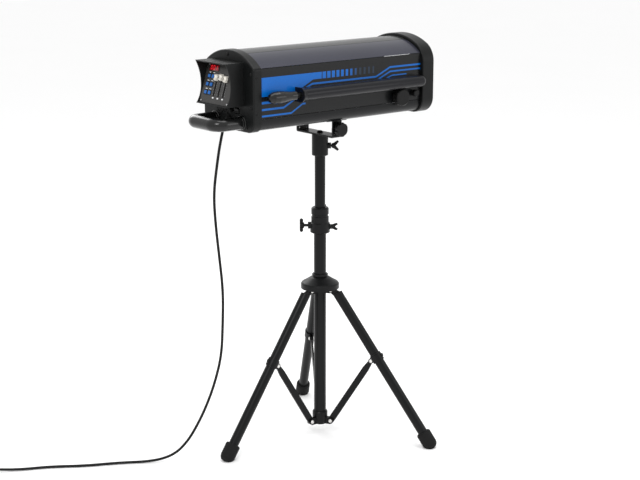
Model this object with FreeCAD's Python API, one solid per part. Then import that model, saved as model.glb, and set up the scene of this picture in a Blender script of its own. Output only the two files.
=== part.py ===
"""Follow spot on a folding tripod stand.

Frame: origin on the mast axis at floor level, +Z up, the beam leaves along +X.
The focus rail is on the -Y side and the control box is at the -X end. Millimetres.
"""
import FreeCAD, Part
import os
from math import asin, atan2, cos, degrees, pi, radians, sin, tan

# ---------------------------------------------------------------- stand sizes
MAST_R = 17.5                # lower tube, outside radius
MAST_WALL = 1.5
MAST_BOTTOM = 40.0
MAST_TOP = 640.0
TUBE_GAP = 1.0               # radial gap between the two tubes
UPPER_WALL = 1.5
UPPER_LENGTH = 659.0
UPPER_BOTTOM = 215.0         # lower end of the telescoping tube as it is set
UPPER_PLUG_T = 3.0           # end plug on top of the telescoping tube
SLIDE_GAP = 0.3              # radial gap between sliding or turning pieces
LINK = 234.0                 # hub pivot to brace pivot, and brace pivot to spider pivot
SPREAD = 31.8                # link angle from vertical with the legs open, degrees
PIVOT_OFFSET = 11.0          # hub and spider pivots, from the side of the hub
SPIDER_PIVOT_Z = 42.0
LEG_R = 14.0
LEG_WALL = 1.5
LEG_TOP_OFFSET = 12.0        # hub pivot to leg axis
LEG_CLIP_OFFSET = 20.5       # brace pivot to leg axis
LEG_START = 20.0             # hub pivot to the end of the leg tube, along the leg
KNUCKLE_T = 6.0              # leg ear between the hub's fins
BRACE_T = 5.0
BRACE_HALF = 9.5
BRACE_TIP_R = 6.0
BRACE_ROOT_R = 9.0
EAR_GAP = 0.3                # side gap between a clevis and what turns in it
RIVET_R = 3.0
RIVET_GAP = 0.15
RIVET_HEAD_R = 5.5
RIVET_HEAD_H = 2.6
FOOT_R = 21.0
FOOT_GRIP = 34.0             # how far the rubber foot reaches up the leg
FOOT_FLOOR_GAP = 7.0         # rubber under the lowest point of the tube
HUB_WALL = 5.5               # hub outside the lower tube
HUB_TOP_RISE = 47.0          # above the hub pivots
DOME_R = 55.0
DOME_SKIRT_RISE = 4.5
DOME_SKIRT_H = 13.0
DOME_WALL = 3.5
FIN_T = 4.0
CLAMP_WALL = 7.5             # telescoping clamp outside the lower tube
CLAMP_GRIP = 34.0            # clamp below the lower tube's top
CLAMP_GUIDE = 41.0           # clamp above the lower tube's top
CLAMP_BOLT_DROP = 12.0       # tee bolt below the lower tube's top
CLAMP_WING_DROP = 16.0       # wing bolt below the lower tube's top
BOLT_R = 4.0
TEE_PROUD = 39.5             # tee bolt's end outside the lower tube
WING_PROUD = 24.5            # wing bolt's hub outside the lower tube
SOCKET_WING_PROUD = 29.0     # wing bolt's hub outside the telescoping tube
LEG_ANGLES = (60.0, 180.0, 300.0)
CLAMP_BOLT_ANGLE = 141.0     # tee bolt's direction about the mast
WING_ANGLE = 321.0

# ----------------------------------------------------------------- yoke sizes
SOCKET_WALL = 8.0            # socket outside the telescoping tube
SPIDER_WALL = 4.5            # spider outside the lower tube
SOCKET_GRIP = 43.0           # socket below the top of the telescoping tube
SOCKET_CROWN = 17.0          # socket above the top of the telescoping tube
SOCKET_BOLT_DROP = 16.0      # wing bolt below the top of the telescoping tube
TOP_GAP = 0.5                # between the tube's end plug and the socket's floor
YOKE_T = 5.0
YOKE_HALF_WIDTH = 20.5
YOKE_OUTER_Y = 80.0
TILT_RISE = 24.0             # tilt axis above the top of the socket
TILT_BOLT_R = 5.0
BRACKET_T = 4.0
BRACKET_EAR_R = 16.0
BRACKET_REACH = 26.0         # tilt axis below the lamp's tray

# ----------------------------------------------------------------- lamp sizes
BODY_HALF = 109.0
SHOULDER = 52.0              # shoulder line above the optical axis
CROWN = 92.0                 # top of the cover above the optical axis
BELLY = 114.0                # bottom of the tray below the optical axis
CORNER_R = 26.0
SKIN = 2.5
SEAM_Y = 44.5
SEAM_GAP = 1.2
TRAY_RISE = 34.0             # tray wall height above its bottom
BODY_REAR = -297.0
BODY_FRONT = 285.0
CAP_GROW = 3.0
REAR_CAP_DEPTH = 18.0
FRONT_CAP_DEPTH = 37.0
FRONT_LAP = 6.0              # front flange over the casing's front end
FRONT_FACE_T = 9.0           # face of the front flange over its hollow
SCREW_R = 2.1
SCREW_DEPTH = 12.0
FRONT_GROW = 12.0
FLANGE_CORNER_R = 58.0
FLANGE_FOOT_R = 44.0
FLANGE_CROWN_SHARE = 0.95     # of the straight slopes that the crown's arc takes up
LENS_R = 76.0
LENS_SEAT_LIP = 3.0          # lens seat outside the lens
LENS_DEPTH = 29.0            # lens seat behind the front flange's face
LENS_RIM = 3.0               # edge thickness of the lens
LENS_T = 9.0
RAIL_Z = -24.0               # focus rail below the optical axis
RAIL_HALF_H = 16.0
RAIL_DEPTH = 37.0
RAIL_REAR = -176.0
RAIL_FRONT_GAP = 9.0         # rail's nose short of the casing's front end
ROD_GAP = 1.0                # radial gap round the focus rod
ROD_R = 8.0
ROD_END = 150.0
FOCUS_TRAVEL = 110.0
ARM_X = 62.0                 # carriage position with the rod pushed in
ARM_HALF = 6.0
GRIP_LENGTH = 92.0
GRIP_R = 17.0
CARRIAGE_R = 62.0
GUIDE_R = 5.0
GUIDE_OFFSET = 14.0          # guide rods outside the carriage
GUIDE_Z = -62.0
SIDE_KNOB_X = 192.0
SIDE_KNOB_Z = -64.0
THUMB_SCREW_X = 250.0
THUMB_SCREW_Z = -58.0
STEM_R = 6.0                 # bore for the side knob's threaded stem
SINK_GAP = 35.0              # heat sink ahead of the casing's rear end
SINK_DEPTH = 66.0
SINK_HALF = 55.0
SINK_PLATE_T = 8.0
SINK_FINS = 12
SINK_FIN_T = 3.0
FIN_PITCH = 9.0
SINK_FOOT_HALF = 40.0
BOARD_HALF = 22.0
BOARD_T = 3.0
REFLECTOR_ROOT_R = 24.0
REFLECTOR_R = 46.0
REFLECTOR_T = 2.5
REFLECTOR_H = 46.0
FAN_GAP = 12.0               # fan ahead of the casing's rear end
FAN_HUB_R = 16.0
FAN_HUB_H = 14.0
FAN_R = 42.0
FAN_BLADES = 7
BLADE_TWIST = 32.0           # degrees
DRIVER_X = -60.0
DRIVER_LENGTH = 160.0
DRIVER_HALF = 52.0
DRIVER_H = 29.5
MOTOR_LENGTH = 35.4
MOTOR_HALF = 21.0
WHEEL_R = 66.0
WHEEL_T = 2.5
WHEEL_PITCH_R = 43.0
WHEEL_STATIONS = 8
WHEEL_SHAFT_R = 4.0
FILTER_R = 15.0
FILTER_T = 1.6
WHEEL_X = -128.0
WHEEL_Z = -43.0              # filter wheel's shaft below the optical axis
BOX_HALF = 68.0              # control box half width
BOX_TOP = 66.0
BOX_BOTTOM = -48.0
BOX_DEPTH = 57.0
BOX_WALL = 3.0
PANEL_DEPTH = 49.0           # foot of the panel's face behind the rear cap
PANEL_LEAN = 18.0            # panel's top towards the cap, degrees
DISPLAY_Y = (11.0, 51.0)
DISPLAY_Z = (42.0, 58.0)
PANEL_T = 3.0
BUTTON_HALF = 4.6
BUTTON_GAP = 0.35
BUTTON_COLUMNS = (45.5, 28.5)
BUTTON_ROWS = (27.0, 5.0, -17.0)
BUTTON_RISE = 2.6            # button caps proud of the panel
FADER_CAP_HALF = 5.5
FADER_SLOT_R = 1.6
FADER_COLUMNS = (9.0, -12.0, -33.0)
FADER_SLOT_HALF = 28.0
FADER_MID = 5.0
FADER_POSITIONS = (20.0, 22.0, 19.0)
HANDLE_R = 17.0
HANDLE_HALF = 59.0
HANDLE_REACH = 80.0
HANDLE_Z = -93.0
HANDLE_BEND = 26.0
CONNECTOR_Y = (38.0, 12.0)
CONNECTOR_Z = -63.0
FUSE_Y = -14.0
SWITCH_Y = -38.0
SWITCH_HALF = 9.0
RELIEF_Y = -2.0
RELIEF_Z = -88.0
CORD_R = 3.75
RELIEF_WALL = 2.6            # rubber round the cord where it passes the rear cap
FIT = 0.1                    # gap between seated pieces of one body

# Cord route from the strain relief to the plug, each point chosen by hand.
CORD_ROUTE = [
    (-336.0, -2.0, 937.0), (-345.0, -1.0, 903.0), (-352.0, 5.0, 845.0), (-359.0, 13.0, 765.0),
    (-357.0, 9.0, 680.0), (-350.0, 4.0, 590.0), (-343.0, -1.0, 495.0), (-344.0, 2.0, 400.0),
    (-349.0, 3.0, 312.0), (-364.0, 16.0, 232.0), (-381.0, 33.0, 165.0), (-401.0, 51.0, 107.0),
    (-424.0, 68.0, 58.0), (-455.0, 89.0, 20.0), (-506.0, 118.0, 4.2), (-588.0, 172.0, 4.2),
    (-672.0, 213.0, 4.2), (-747.0, 268.0, 4.2), (-826.0, 305.0, 4.2), (-884.0, 343.0, 8.0),
    (-930.0, 367.0, 14.0),
]
PLUG_LENGTH = 46.0

# ------------------------------------------------------------- derived values
UPPER_R = MAST_R - MAST_WALL - TUBE_GAP
HUB_R = MAST_R + HUB_WALL
PIVOT_R = HUB_R + PIVOT_OFFSET
CLAMP_R = MAST_R + CLAMP_WALL
SOCKET_R = UPPER_R + SOCKET_WALL
TEE_REACH = MAST_R + TEE_PROUD
WING_REACH = MAST_R + WING_PROUD
SOCKET_WING_REACH = UPPER_R + SOCKET_WING_PROUD
LENS_SEAT_R = LENS_R + LENS_SEAT_LIP
GUIDE_Y = CARRIAGE_R + GUIDE_OFFSET
RAIL_BORE_R = ROD_R + ROD_GAP
HUB_PIVOT_Z = SPIDER_PIVOT_Z + 2 * LINK * cos(radians(SPREAD))
LEG_ANGLE = radians(SPREAD) + asin((LEG_CLIP_OFFSET - LEG_TOP_OFFSET) / LINK)
LINK_ANGLE = radians(SPREAD)
UPPER_TOP = UPPER_BOTTOM + UPPER_LENGTH
CLAMP_BOTTOM = MAST_TOP - CLAMP_GRIP
CLAMP_TOP = MAST_TOP + CLAMP_GUIDE
CLAMP_BOLT_Z = MAST_TOP - CLAMP_BOLT_DROP
CLAMP_WING_Z = MAST_TOP - CLAMP_WING_DROP
SOCKET_BOTTOM = UPPER_TOP - SOCKET_GRIP
SOCKET_TOP = UPPER_TOP + SOCKET_CROWN
SOCKET_FLOOR = UPPER_TOP + UPPER_PLUG_T + TOP_GAP
SOCKET_BOLT_Z = UPPER_TOP - SOCKET_BOLT_DROP
YOKE_FLOOR = SOCKET_TOP + YOKE_T
TILT_Z = SOCKET_TOP + TILT_RISE
LAMP_Z = TILT_Z + BRACKET_REACH + BELLY
CAP_REAR = BODY_REAR - REAR_CAP_DEPTH
CAP_FRONT = BODY_FRONT + FRONT_CAP_DEPTH
SINK_REAR = BODY_REAR + SINK_GAP
FAN_X = BODY_REAR + FAN_GAP
LENS_X = CAP_FRONT - LENS_DEPTH
RAIL_FRONT = BODY_FRONT - RAIL_FRONT_GAP
BOX_REAR = CAP_REAR - BOX_DEPTH
PANEL_X = CAP_REAR - PANEL_DEPTH
RAIL_Y = -(BODY_HALF + RAIL_DEPTH - RAIL_HALF_H)


# ------------------------------------------------------------------ utilities
def vec(x, y, z):
    return FreeCAD.Vector(x, y, z)


def block(x0, x1, y0, y1, z0, z1):
    return Part.makeBox(x1 - x0, y1 - y0, z1 - z0, vec(x0, y0, z0))


def bar(radius, length, base, direction):
    return Part.makeCylinder(radius, length, vec(*base), vec(*direction))


def ring(outer, inner, length, base, direction):
    return bar(outer, length, base, direction).cut(bar(inner, length, base, direction))


def fuse(shapes):
    whole = shapes[0]
    for shape in shapes[1:]:
        whole = whole.fuse(shape)
    return whole.removeSplitter()


def cut_all(shape, tools):
    for tool in tools:
        shape = shape.cut(tool)
    return shape


def turned(profile, base=(0, 0, 0), direction=(0, 0, 1)):
    """Solid of revolution from (radius, height) points, height along direction."""
    points = [vec(r, 0, h) for r, h in profile]
    face = Part.Face(Part.makePolygon(points + points[:1]))
    solid = face.revolve(vec(0, 0, 0), vec(0, 0, 1), 360)
    solid.Placement = FreeCAD.Placement(vec(*base), FreeCAD.Rotation(vec(0, 0, 1), vec(*direction)))
    return solid


def prism(points, direction):
    """Extrusion of a closed outline of (x, y, z) points."""
    outline = [vec(*p) for p in points]
    return Part.Face(Part.makePolygon(outline + outline[:1])).extrude(vec(*direction))


def spun(shape, angle):
    """The shape turned about the mast axis, angle in degrees."""
    turned_shape = shape.copy()
    turned_shape.rotate(vec(0, 0, 0), vec(0, 0, 1), angle)
    return turned_shape


def mirrored(shape):
    """The shape mirrored through the lamp's middle plane, y = 0."""
    return shape.mirror(vec(0, 0, 0), vec(0, 1, 0))


def export(name, shape):
    solids = shape.Solids
    if len(solids) == 1:
        shape = solids[0]
    else:
        shape = Part.makeCompound(solids)
    shape.exportStep("parts/" + name + ".step")


# ---------------------------------------------------------------------- mast
def lower_mast_tube():
    tube = ring(MAST_R, MAST_R - MAST_WALL, MAST_TOP - MAST_BOTTOM, (0, 0, MAST_BOTTOM), (0, 0, 1))
    for angle, height in ((CLAMP_BOLT_ANGLE, CLAMP_BOLT_Z), (WING_ANGLE, CLAMP_WING_Z)):
        hole = bar(BOLT_R + SLIDE_GAP, MAST_R, (0, 0, height), (1, 0, 0))
        tube = tube.cut(spun(hole, angle))
    return tube


def upper_mast_tube():
    length = UPPER_TOP - UPPER_BOTTOM
    tube = ring(UPPER_R, UPPER_R - UPPER_WALL, length, (0, 0, UPPER_BOTTOM), (0, 0, 1))
    glide_r = MAST_R - MAST_WALL - SLIDE_GAP
    glide = ring(glide_r, UPPER_R, 30.0, (0, 0, UPPER_BOTTOM), (0, 0, 1))
    plug = bar(UPPER_R, UPPER_PLUG_T, (0, 0, UPPER_TOP), (0, 0, 1))
    return fuse([tube, glide, plug])


def mast_clamp_collar():
    """Clamp that is pressed on the lower tube and guides the upper one."""
    lip = 3.0
    profile = [(MAST_R, CLAMP_BOTTOM), (CLAMP_R - lip, CLAMP_BOTTOM), (CLAMP_R + lip, CLAMP_BOTTOM + lip),
               (CLAMP_R + lip, MAST_TOP - 5.0), (CLAMP_R, MAST_TOP - 2.0), (CLAMP_R, MAST_TOP + 14.0),
               (CLAMP_R - 2.0, MAST_TOP + 16.0), (CLAMP_R - 2.0, MAST_TOP + 20.0), (CLAMP_R, MAST_TOP + 22.0),
               (CLAMP_R, CLAMP_TOP - lip), (CLAMP_R - lip, CLAMP_TOP), (UPPER_R + SLIDE_GAP, CLAMP_TOP),
               (UPPER_R + SLIDE_GAP, MAST_TOP), (MAST_R, MAST_TOP)]
    body = turned(profile)
    boss = spun(bar(10.0, 14.0, (MAST_R + 3.0, 0, CLAMP_BOLT_Z), (1, 0, 0)), CLAMP_BOLT_ANGLE)
    wing_boss = spun(bar(8.0, 10.0, (MAST_R + 3.0, 0, CLAMP_WING_Z), (1, 0, 0)), WING_ANGLE)
    post = spun(bar(7.0, CLAMP_TOP + 2.0 - CLAMP_BOTTOM, (CLAMP_R, 0, CLAMP_BOTTOM), (0, 0, 1)), 25.0)
    collar = fuse([body, boss, wing_boss, post])
    collar = collar.cut(bar(MAST_R, MAST_TOP - CLAMP_BOTTOM, (0, 0, CLAMP_BOTTOM), (0, 0, 1)))
    collar = collar.cut(bar(UPPER_R + SLIDE_GAP, CLAMP_TOP + 5.0 - MAST_TOP, (0, 0, MAST_TOP), (0, 0, 1)))
    for angle, height in ((CLAMP_BOLT_ANGLE, CLAMP_BOLT_Z), (WING_ANGLE, CLAMP_WING_Z)):
        hole = bar(BOLT_R + SLIDE_GAP, 50.0, (0, 0, height), (1, 0, 0))
        collar = collar.cut(spun(hole, angle))
    return collar


def tee_bolt(start, reach, height, angle, handle_length, handle_r):
    """Clamp bolt with a cross handle, its point at radius start from the mast axis."""
    hub_length = 12.0
    shank = bar(BOLT_R, reach - start, (start, 0, height), (1, 0, 0))
    hub = turned([(0, 0), (7.0, 0), (8.5, 2.0), (8.5, hub_length), (0, hub_length)],
                 (reach - hub_length, 0, height), (1, 0, 0))
    handle = bar(handle_r, handle_length, (reach - 4.0, 0, height - handle_length / 2), (0, 0, 1))
    tips = []
    for side in (-1, 1):
        tips.append(Part.makeSphere(handle_r, vec(reach - 4.0, 0, height + side * handle_length / 2)))
    return spun(fuse([shank, hub, handle] + tips), angle)


def wing_bolt(start, reach, height, angle, span):
    """Clamp bolt with two flat wings."""
    shank = bar(BOLT_R, reach - start, (start, 0, height), (1, 0, 0))
    hub = bar(7.0, 11.0, (reach - 11.0, 0, height), (1, 0, 0))
    outline = [(reach - 10.0, -2.5, height - 5.0), (reach + 5.0, -2.5, height - span / 2),
               (reach + 9.0, -2.5, height - span / 2 + 4.0), (reach, -2.5, height),
               (reach + 9.0, -2.5, height + span / 2 - 4.0), (reach + 5.0, -2.5, height + span / 2),
               (reach - 10.0, -2.5, height + 5.0)]
    wings = prism(outline, (0, 5.0, 0))
    return spun(fuse([shank, hub, wings]), angle)


# -------------------------------------------------------------------- tripod
def along(distance, offset=0.0):
    """Point in a leg's own plane: distance from the hub pivot along the leg, offset outwards."""
    x = PIVOT_R + distance * sin(LEG_ANGLE) + offset * cos(LEG_ANGLE)
    z = HUB_PIVOT_Z - distance * cos(LEG_ANGLE) + offset * sin(LEG_ANGLE)
    return (x, 0.0, z)


def leg_direction():
    return (sin(LEG_ANGLE), 0.0, -cos(LEG_ANGLE))


def brace_pivot():
    return (PIVOT_R + LINK * sin(LINK_ANGLE), 0.0, HUB_PIVOT_Z - LINK * cos(LINK_ANGLE))


def clip_distance():
    """Distance along the leg from the hub pivot to abreast of the brace pivot."""
    return LINK * cos(LEG_ANGLE - LINK_ANGLE)


def axis_to_height(height):
    """Distance along the leg at which its axis comes down to a height."""
    return (along(0, LEG_TOP_OFFSET)[2] - height) / cos(LEG_ANGLE)


def leg_end():
    lowest_rim = FOOT_FLOOR_GAP + LEG_R * sin(LEG_ANGLE)
    return axis_to_height(lowest_rim)


def leg_tube():
    base = along(LEG_START, LEG_TOP_OFFSET)
    return ring(LEG_R, LEG_R - LEG_WALL, leg_end() - LEG_START, base, leg_direction())


def rivet(point, grip):
    """Domed rivet across a leg's plane, centred on the point."""
    x, _, z = point
    half = grip / 2
    shank = bar(RIVET_R, grip, (x, -half, z), (0, 1, 0))
    heads = []
    for side in (-1, 1):
        heads.append(turned([(0, 0), (RIVET_HEAD_R, 0), (RIVET_HEAD_R - 0.8, RIVET_HEAD_H * 0.6),
                             (RIVET_HEAD_R * 0.5, RIVET_HEAD_H), (0, RIVET_HEAD_H)],
                            (x, side * half, z), (0, side, 0)))
    return fuse([shank] + heads)


def knuckle():
    """Plug in the top of a leg, with the ear that the hub's rivet holds."""
    direction = leg_direction()
    plug = bar(LEG_R - LEG_WALL, 28.0, along(LEG_START, LEG_TOP_OFFSET), direction)
    flange = bar(LEG_R, 3.5, along(LEG_START - 3.5, LEG_TOP_OFFSET), direction)
    half = KNUCKLE_T / 2
    ear_r = 8.0
    eye = bar(ear_r, KNUCKLE_T, (PIVOT_R, -half, HUB_PIVOT_Z), (0, 1, 0))
    outline = [along(0, -ear_r), along(LEG_START - 3.0, LEG_TOP_OFFSET - LEG_R),
               along(LEG_START - 3.0, LEG_TOP_OFFSET + 9.0), along(0, ear_r)]
    web = prism([(x, -half, z) for x, _, z in outline], (0, KNUCKLE_T, 0))
    solid = fuse([plug, flange, web, eye])
    hole = bar(RIVET_R + RIVET_GAP, KNUCKLE_T, (PIVOT_R, -half, HUB_PIVOT_Z), (0, 1, 0))
    return solid.cut(hole)


def leg_clip():
    """Band round a leg with two inward ears that hold the brace."""
    middle = clip_distance()
    half_h = 12.0
    wall = 3.0
    gap = BRACE_T / 2 + EAR_GAP
    band = ring(LEG_R + wall, LEG_R, 2 * half_h, along(middle - half_h, LEG_TOP_OFFSET), leg_direction())
    pivot = brace_pivot()
    ears = []
    for side in (-1, 1):
        y0 = side * gap if side > 0 else -gap - wall
        inner = LEG_TOP_OFFSET - LEG_R + 2.0
        outline = [along(middle - 9.0, inner), along(middle + 9.0, inner),
                   along(middle + 7.5, LEG_TOP_OFFSET - LEG_CLIP_OFFSET),
                   along(middle - 7.5, LEG_TOP_OFFSET - LEG_CLIP_OFFSET)]
        web = prism([(x, y0, z) for x, _, z in outline], (0, wall, 0))
        eye = bar(7.5, wall, (pivot[0], y0, pivot[2]), (0, 1, 0))
        ears.append(web.fuse(eye))
    nub = bar(5.0, 5.5, along(middle, LEG_TOP_OFFSET + LEG_R + 0.5), (cos(LEG_ANGLE), 0, sin(LEG_ANGLE)))
    clip = fuse([band] + ears + [nub])
    clip = clip.cut(bar(LEG_R, 80.0, along(middle - 40.0, LEG_TOP_OFFSET), leg_direction()))
    slot_outline = [along(middle - 40.0, LEG_TOP_OFFSET - 8.0), along(middle + 40.0, LEG_TOP_OFFSET - 8.0),
                    along(middle + 40.0, LEG_TOP_OFFSET - 40.0), along(middle - 40.0, LEG_TOP_OFFSET - 40.0)]
    slot = prism([(x, -gap, z) for x, _, z in slot_outline], (0, 2 * gap, 0))
    hole = bar(RIVET_R, 2 * gap + 2 * wall, (pivot[0], -gap - wall, pivot[2]), (0, 1, 0))
    return cut_all(clip, [slot, hole])


def leg_fittings():
    """The knuckle, the clip, and the rivets at the leg's two pivots."""
    hub_rivet = rivet((PIVOT_R, 0, HUB_PIVOT_Z), KNUCKLE_T + 2 * EAR_GAP + 2 * FIN_T + 0.2)
    clip_rivet = rivet(brace_pivot(), BRACE_T + 2 * EAR_GAP + 6.0)
    return Part.makeCompound([knuckle(), leg_clip(), hub_rivet, clip_rivet])


def rubber_foot():
    """Round rubber cap with a flat sole where it meets the floor."""
    top = leg_end() - FOOT_GRIP
    bottom = axis_to_height(0.0) + 2.0
    length = bottom - top
    shoulder = length - 16.0
    profile = [(0, 0), (FOOT_R - 3.0, 0), (FOOT_R, 4.0), (FOOT_R, shoulder), (FOOT_R - 2.2, length - 8.0),
               (FOOT_R - 7.0, length - 2.0), (FOOT_R - 12.0, length), (0, length)]
    foot = turned(profile, along(top, LEG_TOP_OFFSET), leg_direction())
    foot = foot.cut(bar(LEG_R, FOOT_GRIP, along(top, LEG_TOP_OFFSET), leg_direction()))
    below = block(0, 600, -100, 100, -100, 0)
    return foot.cut(below)


def brace():
    """Flat bar from the spider to a leg, with its spider rivet."""
    start = (PIVOT_R, SPIDER_PIVOT_Z)
    ux, uz = sin(LINK_ANGLE), cos(LINK_ANGLE)
    half_t = BRACE_T / 2

    def point(distance, offset):
        return (start[0] + distance * ux + offset * uz, -half_t, start[1] + distance * uz - offset * ux)

    taper = 32.0
    outline = [point(0, -BRACE_ROOT_R), point(16.0, -BRACE_HALF), point(LINK - taper, -BRACE_HALF),
               point(LINK, -BRACE_TIP_R), point(LINK, BRACE_TIP_R), point(LINK - taper, BRACE_HALF),
               point(16.0, BRACE_HALF), point(0, BRACE_ROOT_R)]
    web = prism(outline, (0, BRACE_T, 0))
    tip = point(LINK, 0)
    root = point(0, 0)
    root_eye = bar(BRACE_ROOT_R, BRACE_T, root, (0, 1, 0))
    tip_eye = bar(BRACE_TIP_R, BRACE_T, tip, (0, 1, 0))
    solid = fuse([web, root_eye, tip_eye])
    solid = solid.cut(bar(RIVET_R + RIVET_GAP, BRACE_T, tip, (0, 1, 0)))
    solid = solid.cut(bar(RIVET_R, BRACE_T, root, (0, 1, 0)))
    pin = rivet((PIVOT_R, 0, SPIDER_PIVOT_Z), BRACE_T + 2 * EAR_GAP + 8.0 + 0.2)
    return Part.makeCompound([solid, pin])


def mast_spider():
    """Ring at the foot of the mast with a clevis for each brace."""
    ring_r = MAST_R + SPIDER_WALL
    bottom = SPIDER_PIVOT_Z - 10.0
    height = 38.0
    top = bottom + height
    body = turned([(0, bottom), (ring_r - 2.0, bottom), (ring_r, bottom + 2.0), (ring_r, top - 3.0),
                   (ring_r - 2.0, top), (0, top)])
    gap = BRACE_T / 2 + EAR_GAP
    ear_t = 4.0
    ears = []
    for angle in LEG_ANGLES:
        for y0 in (gap, -gap - ear_t):
            web = block(ring_r - 8.0, PIVOT_R, y0, y0 + ear_t, bottom, SPIDER_PIVOT_Z + 9.0)
            eye = bar(9.0, ear_t, (PIVOT_R, y0, SPIDER_PIVOT_Z), (0, 1, 0))
            tip_cut = block(PIVOT_R, PIVOT_R + 20.0, y0, y0 + ear_t, bottom - 2.0, bottom)
            ears.append(spun(web.fuse(eye).cut(tip_cut), angle))
    spider = fuse([body] + ears)
    tube_seat = bar(MAST_R, height, (0, 0, MAST_BOTTOM), (0, 0, 1))
    holes = [tube_seat, bar(6.0, 20.0, (0, 0, bottom - 5.0), (0, 0, 1))]
    for angle in LEG_ANGLES:
        holes.append(spun(bar(RIVET_R + RIVET_GAP, 20.0, (PIVOT_R, -10.0, SPIDER_PIVOT_Z), (0, 1, 0)), angle))
    return cut_all(spider, holes)


def leg_hub():
    """Domed hub that slides on the mast and carries the legs in pairs of fins."""
    z0 = HUB_PIVOT_Z
    bore = MAST_R + SLIDE_GAP
    skirt = z0 + DOME_SKIRT_RISE
    rim = skirt + DOME_SKIRT_H
    top = z0 + HUB_TOP_RISE
    sleeve = [(bore, z0 - 9.0), (HUB_R - 2.0, z0 - 9.0), (HUB_R - 2.0, top - 8.0), (HUB_R, top - 6.0),
              (HUB_R, top - 1.5), (HUB_R - 1.5, top), (bore, top)]
    dome = [(HUB_R - 3.0, rim + 10.0), (DOME_R - DOME_WALL, rim - 3.0), (DOME_R - DOME_WALL, skirt),
            (DOME_R, skirt), (DOME_R, rim), (DOME_R - 3.0, rim + 4.0), (40.0, rim + 11.0),
            (29.0, rim + 18.0), (HUB_R - 3.0, rim + 22.0)]
    gap = KNUCKLE_T / 2 + EAR_GAP
    fins = []
    for angle in LEG_ANGLES:
        for y0 in (gap, -gap - FIN_T):
            outline = [(HUB_R - 4.0, y0, z0 - 9.0), (PIVOT_R, y0, z0 - 9.0), (PIVOT_R + 9.0, y0, z0),
                       (DOME_R - DOME_WALL + 1.0, y0, skirt + 2.0), (DOME_R - DOME_WALL + 1.0, y0, rim - 2.0),
                       (HUB_R - 4.0, y0, rim + 12.0)]
            fins.append(spun(prism(outline, (0, FIN_T, 0)), angle))
        rib = prism([(HUB_R - 3.0, -2.0, top - 9.0), (HUB_R - 3.0, -2.0, rim + 12.0),
                     (DOME_R - 6.0, -2.0, rim + 2.0), (DOME_R - 6.0, -2.0, rim + 6.0)], (0, 4.0, 0))
        fins.append(spun(rib, angle + 60.0))
    hub = fuse([turned(sleeve), turned(dome)] + fins)
    holes = [bar(bore, 200.0, (0, 0, z0 - 60.0), (0, 0, 1))]
    for angle in LEG_ANGLES:
        holes.append(spun(bar(RIVET_R + RIVET_GAP, 24.0, (PIVOT_R, -12.0, z0), (0, 1, 0)), angle))
    return cut_all(hub, holes)


def build_stand():
    export("lower_mast_tube", lower_mast_tube())
    export("upper_mast_tube", upper_mast_tube())
    export("mast_spider", mast_spider())
    export("mast_clamp_collar", mast_clamp_collar())
    export("mast_tee_bolt", tee_bolt(UPPER_R + SLIDE_GAP, TEE_REACH, CLAMP_BOLT_Z, CLAMP_BOLT_ANGLE, 30.0, 5.0))
    export("mast_wing_bolt", wing_bolt(UPPER_R + SLIDE_GAP, WING_REACH, CLAMP_WING_Z, WING_ANGLE, 22.0))
    export("leg_hub", leg_hub())
    for number, angle in enumerate(LEG_ANGLES, 1):
        export("brace_%d" % number, spun(brace(), angle))
        export("leg_tube_%d" % number, spun(leg_tube(), angle))
        export("leg_fittings_%d" % number, spun(leg_fittings(), angle))
        export("rubber_foot_%d" % number, spun(rubber_foot(), angle))


# ---------------------------------------------------------------------- yoke
def stand_socket():
    """Socket that drops over the upper tube and turns on it."""
    bore = UPPER_R + SLIDE_GAP
    profile = [(bore, SOCKET_BOTTOM), (SOCKET_R - 1.5, SOCKET_BOTTOM), (SOCKET_R, SOCKET_BOTTOM + 1.5),
               (SOCKET_R, SOCKET_TOP), (0, SOCKET_TOP), (0, SOCKET_FLOOR), (bore, SOCKET_FLOOR)]
    boss = spun(bar(8.5, 12.0, (UPPER_R + 4.0, 0, SOCKET_BOLT_Z), (1, 0, 0)), WING_ANGLE)
    socket = turned(profile).fuse(boss)
    hole = spun(bar(BOLT_R + SLIDE_GAP, 40.0, (0, 0, SOCKET_BOLT_Z), (1, 0, 0)), WING_ANGLE)
    tapping = bar(BOLT_R, SOCKET_TOP - SOCKET_FLOOR, (0, 0, SOCKET_FLOOR), (0, 0, 1))
    inside = bar(bore, SOCKET_FLOOR - SOCKET_BOTTOM, (0, 0, SOCKET_BOTTOM), (0, 0, 1))
    return cut_all(socket, [hole, tapping, inside])


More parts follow.
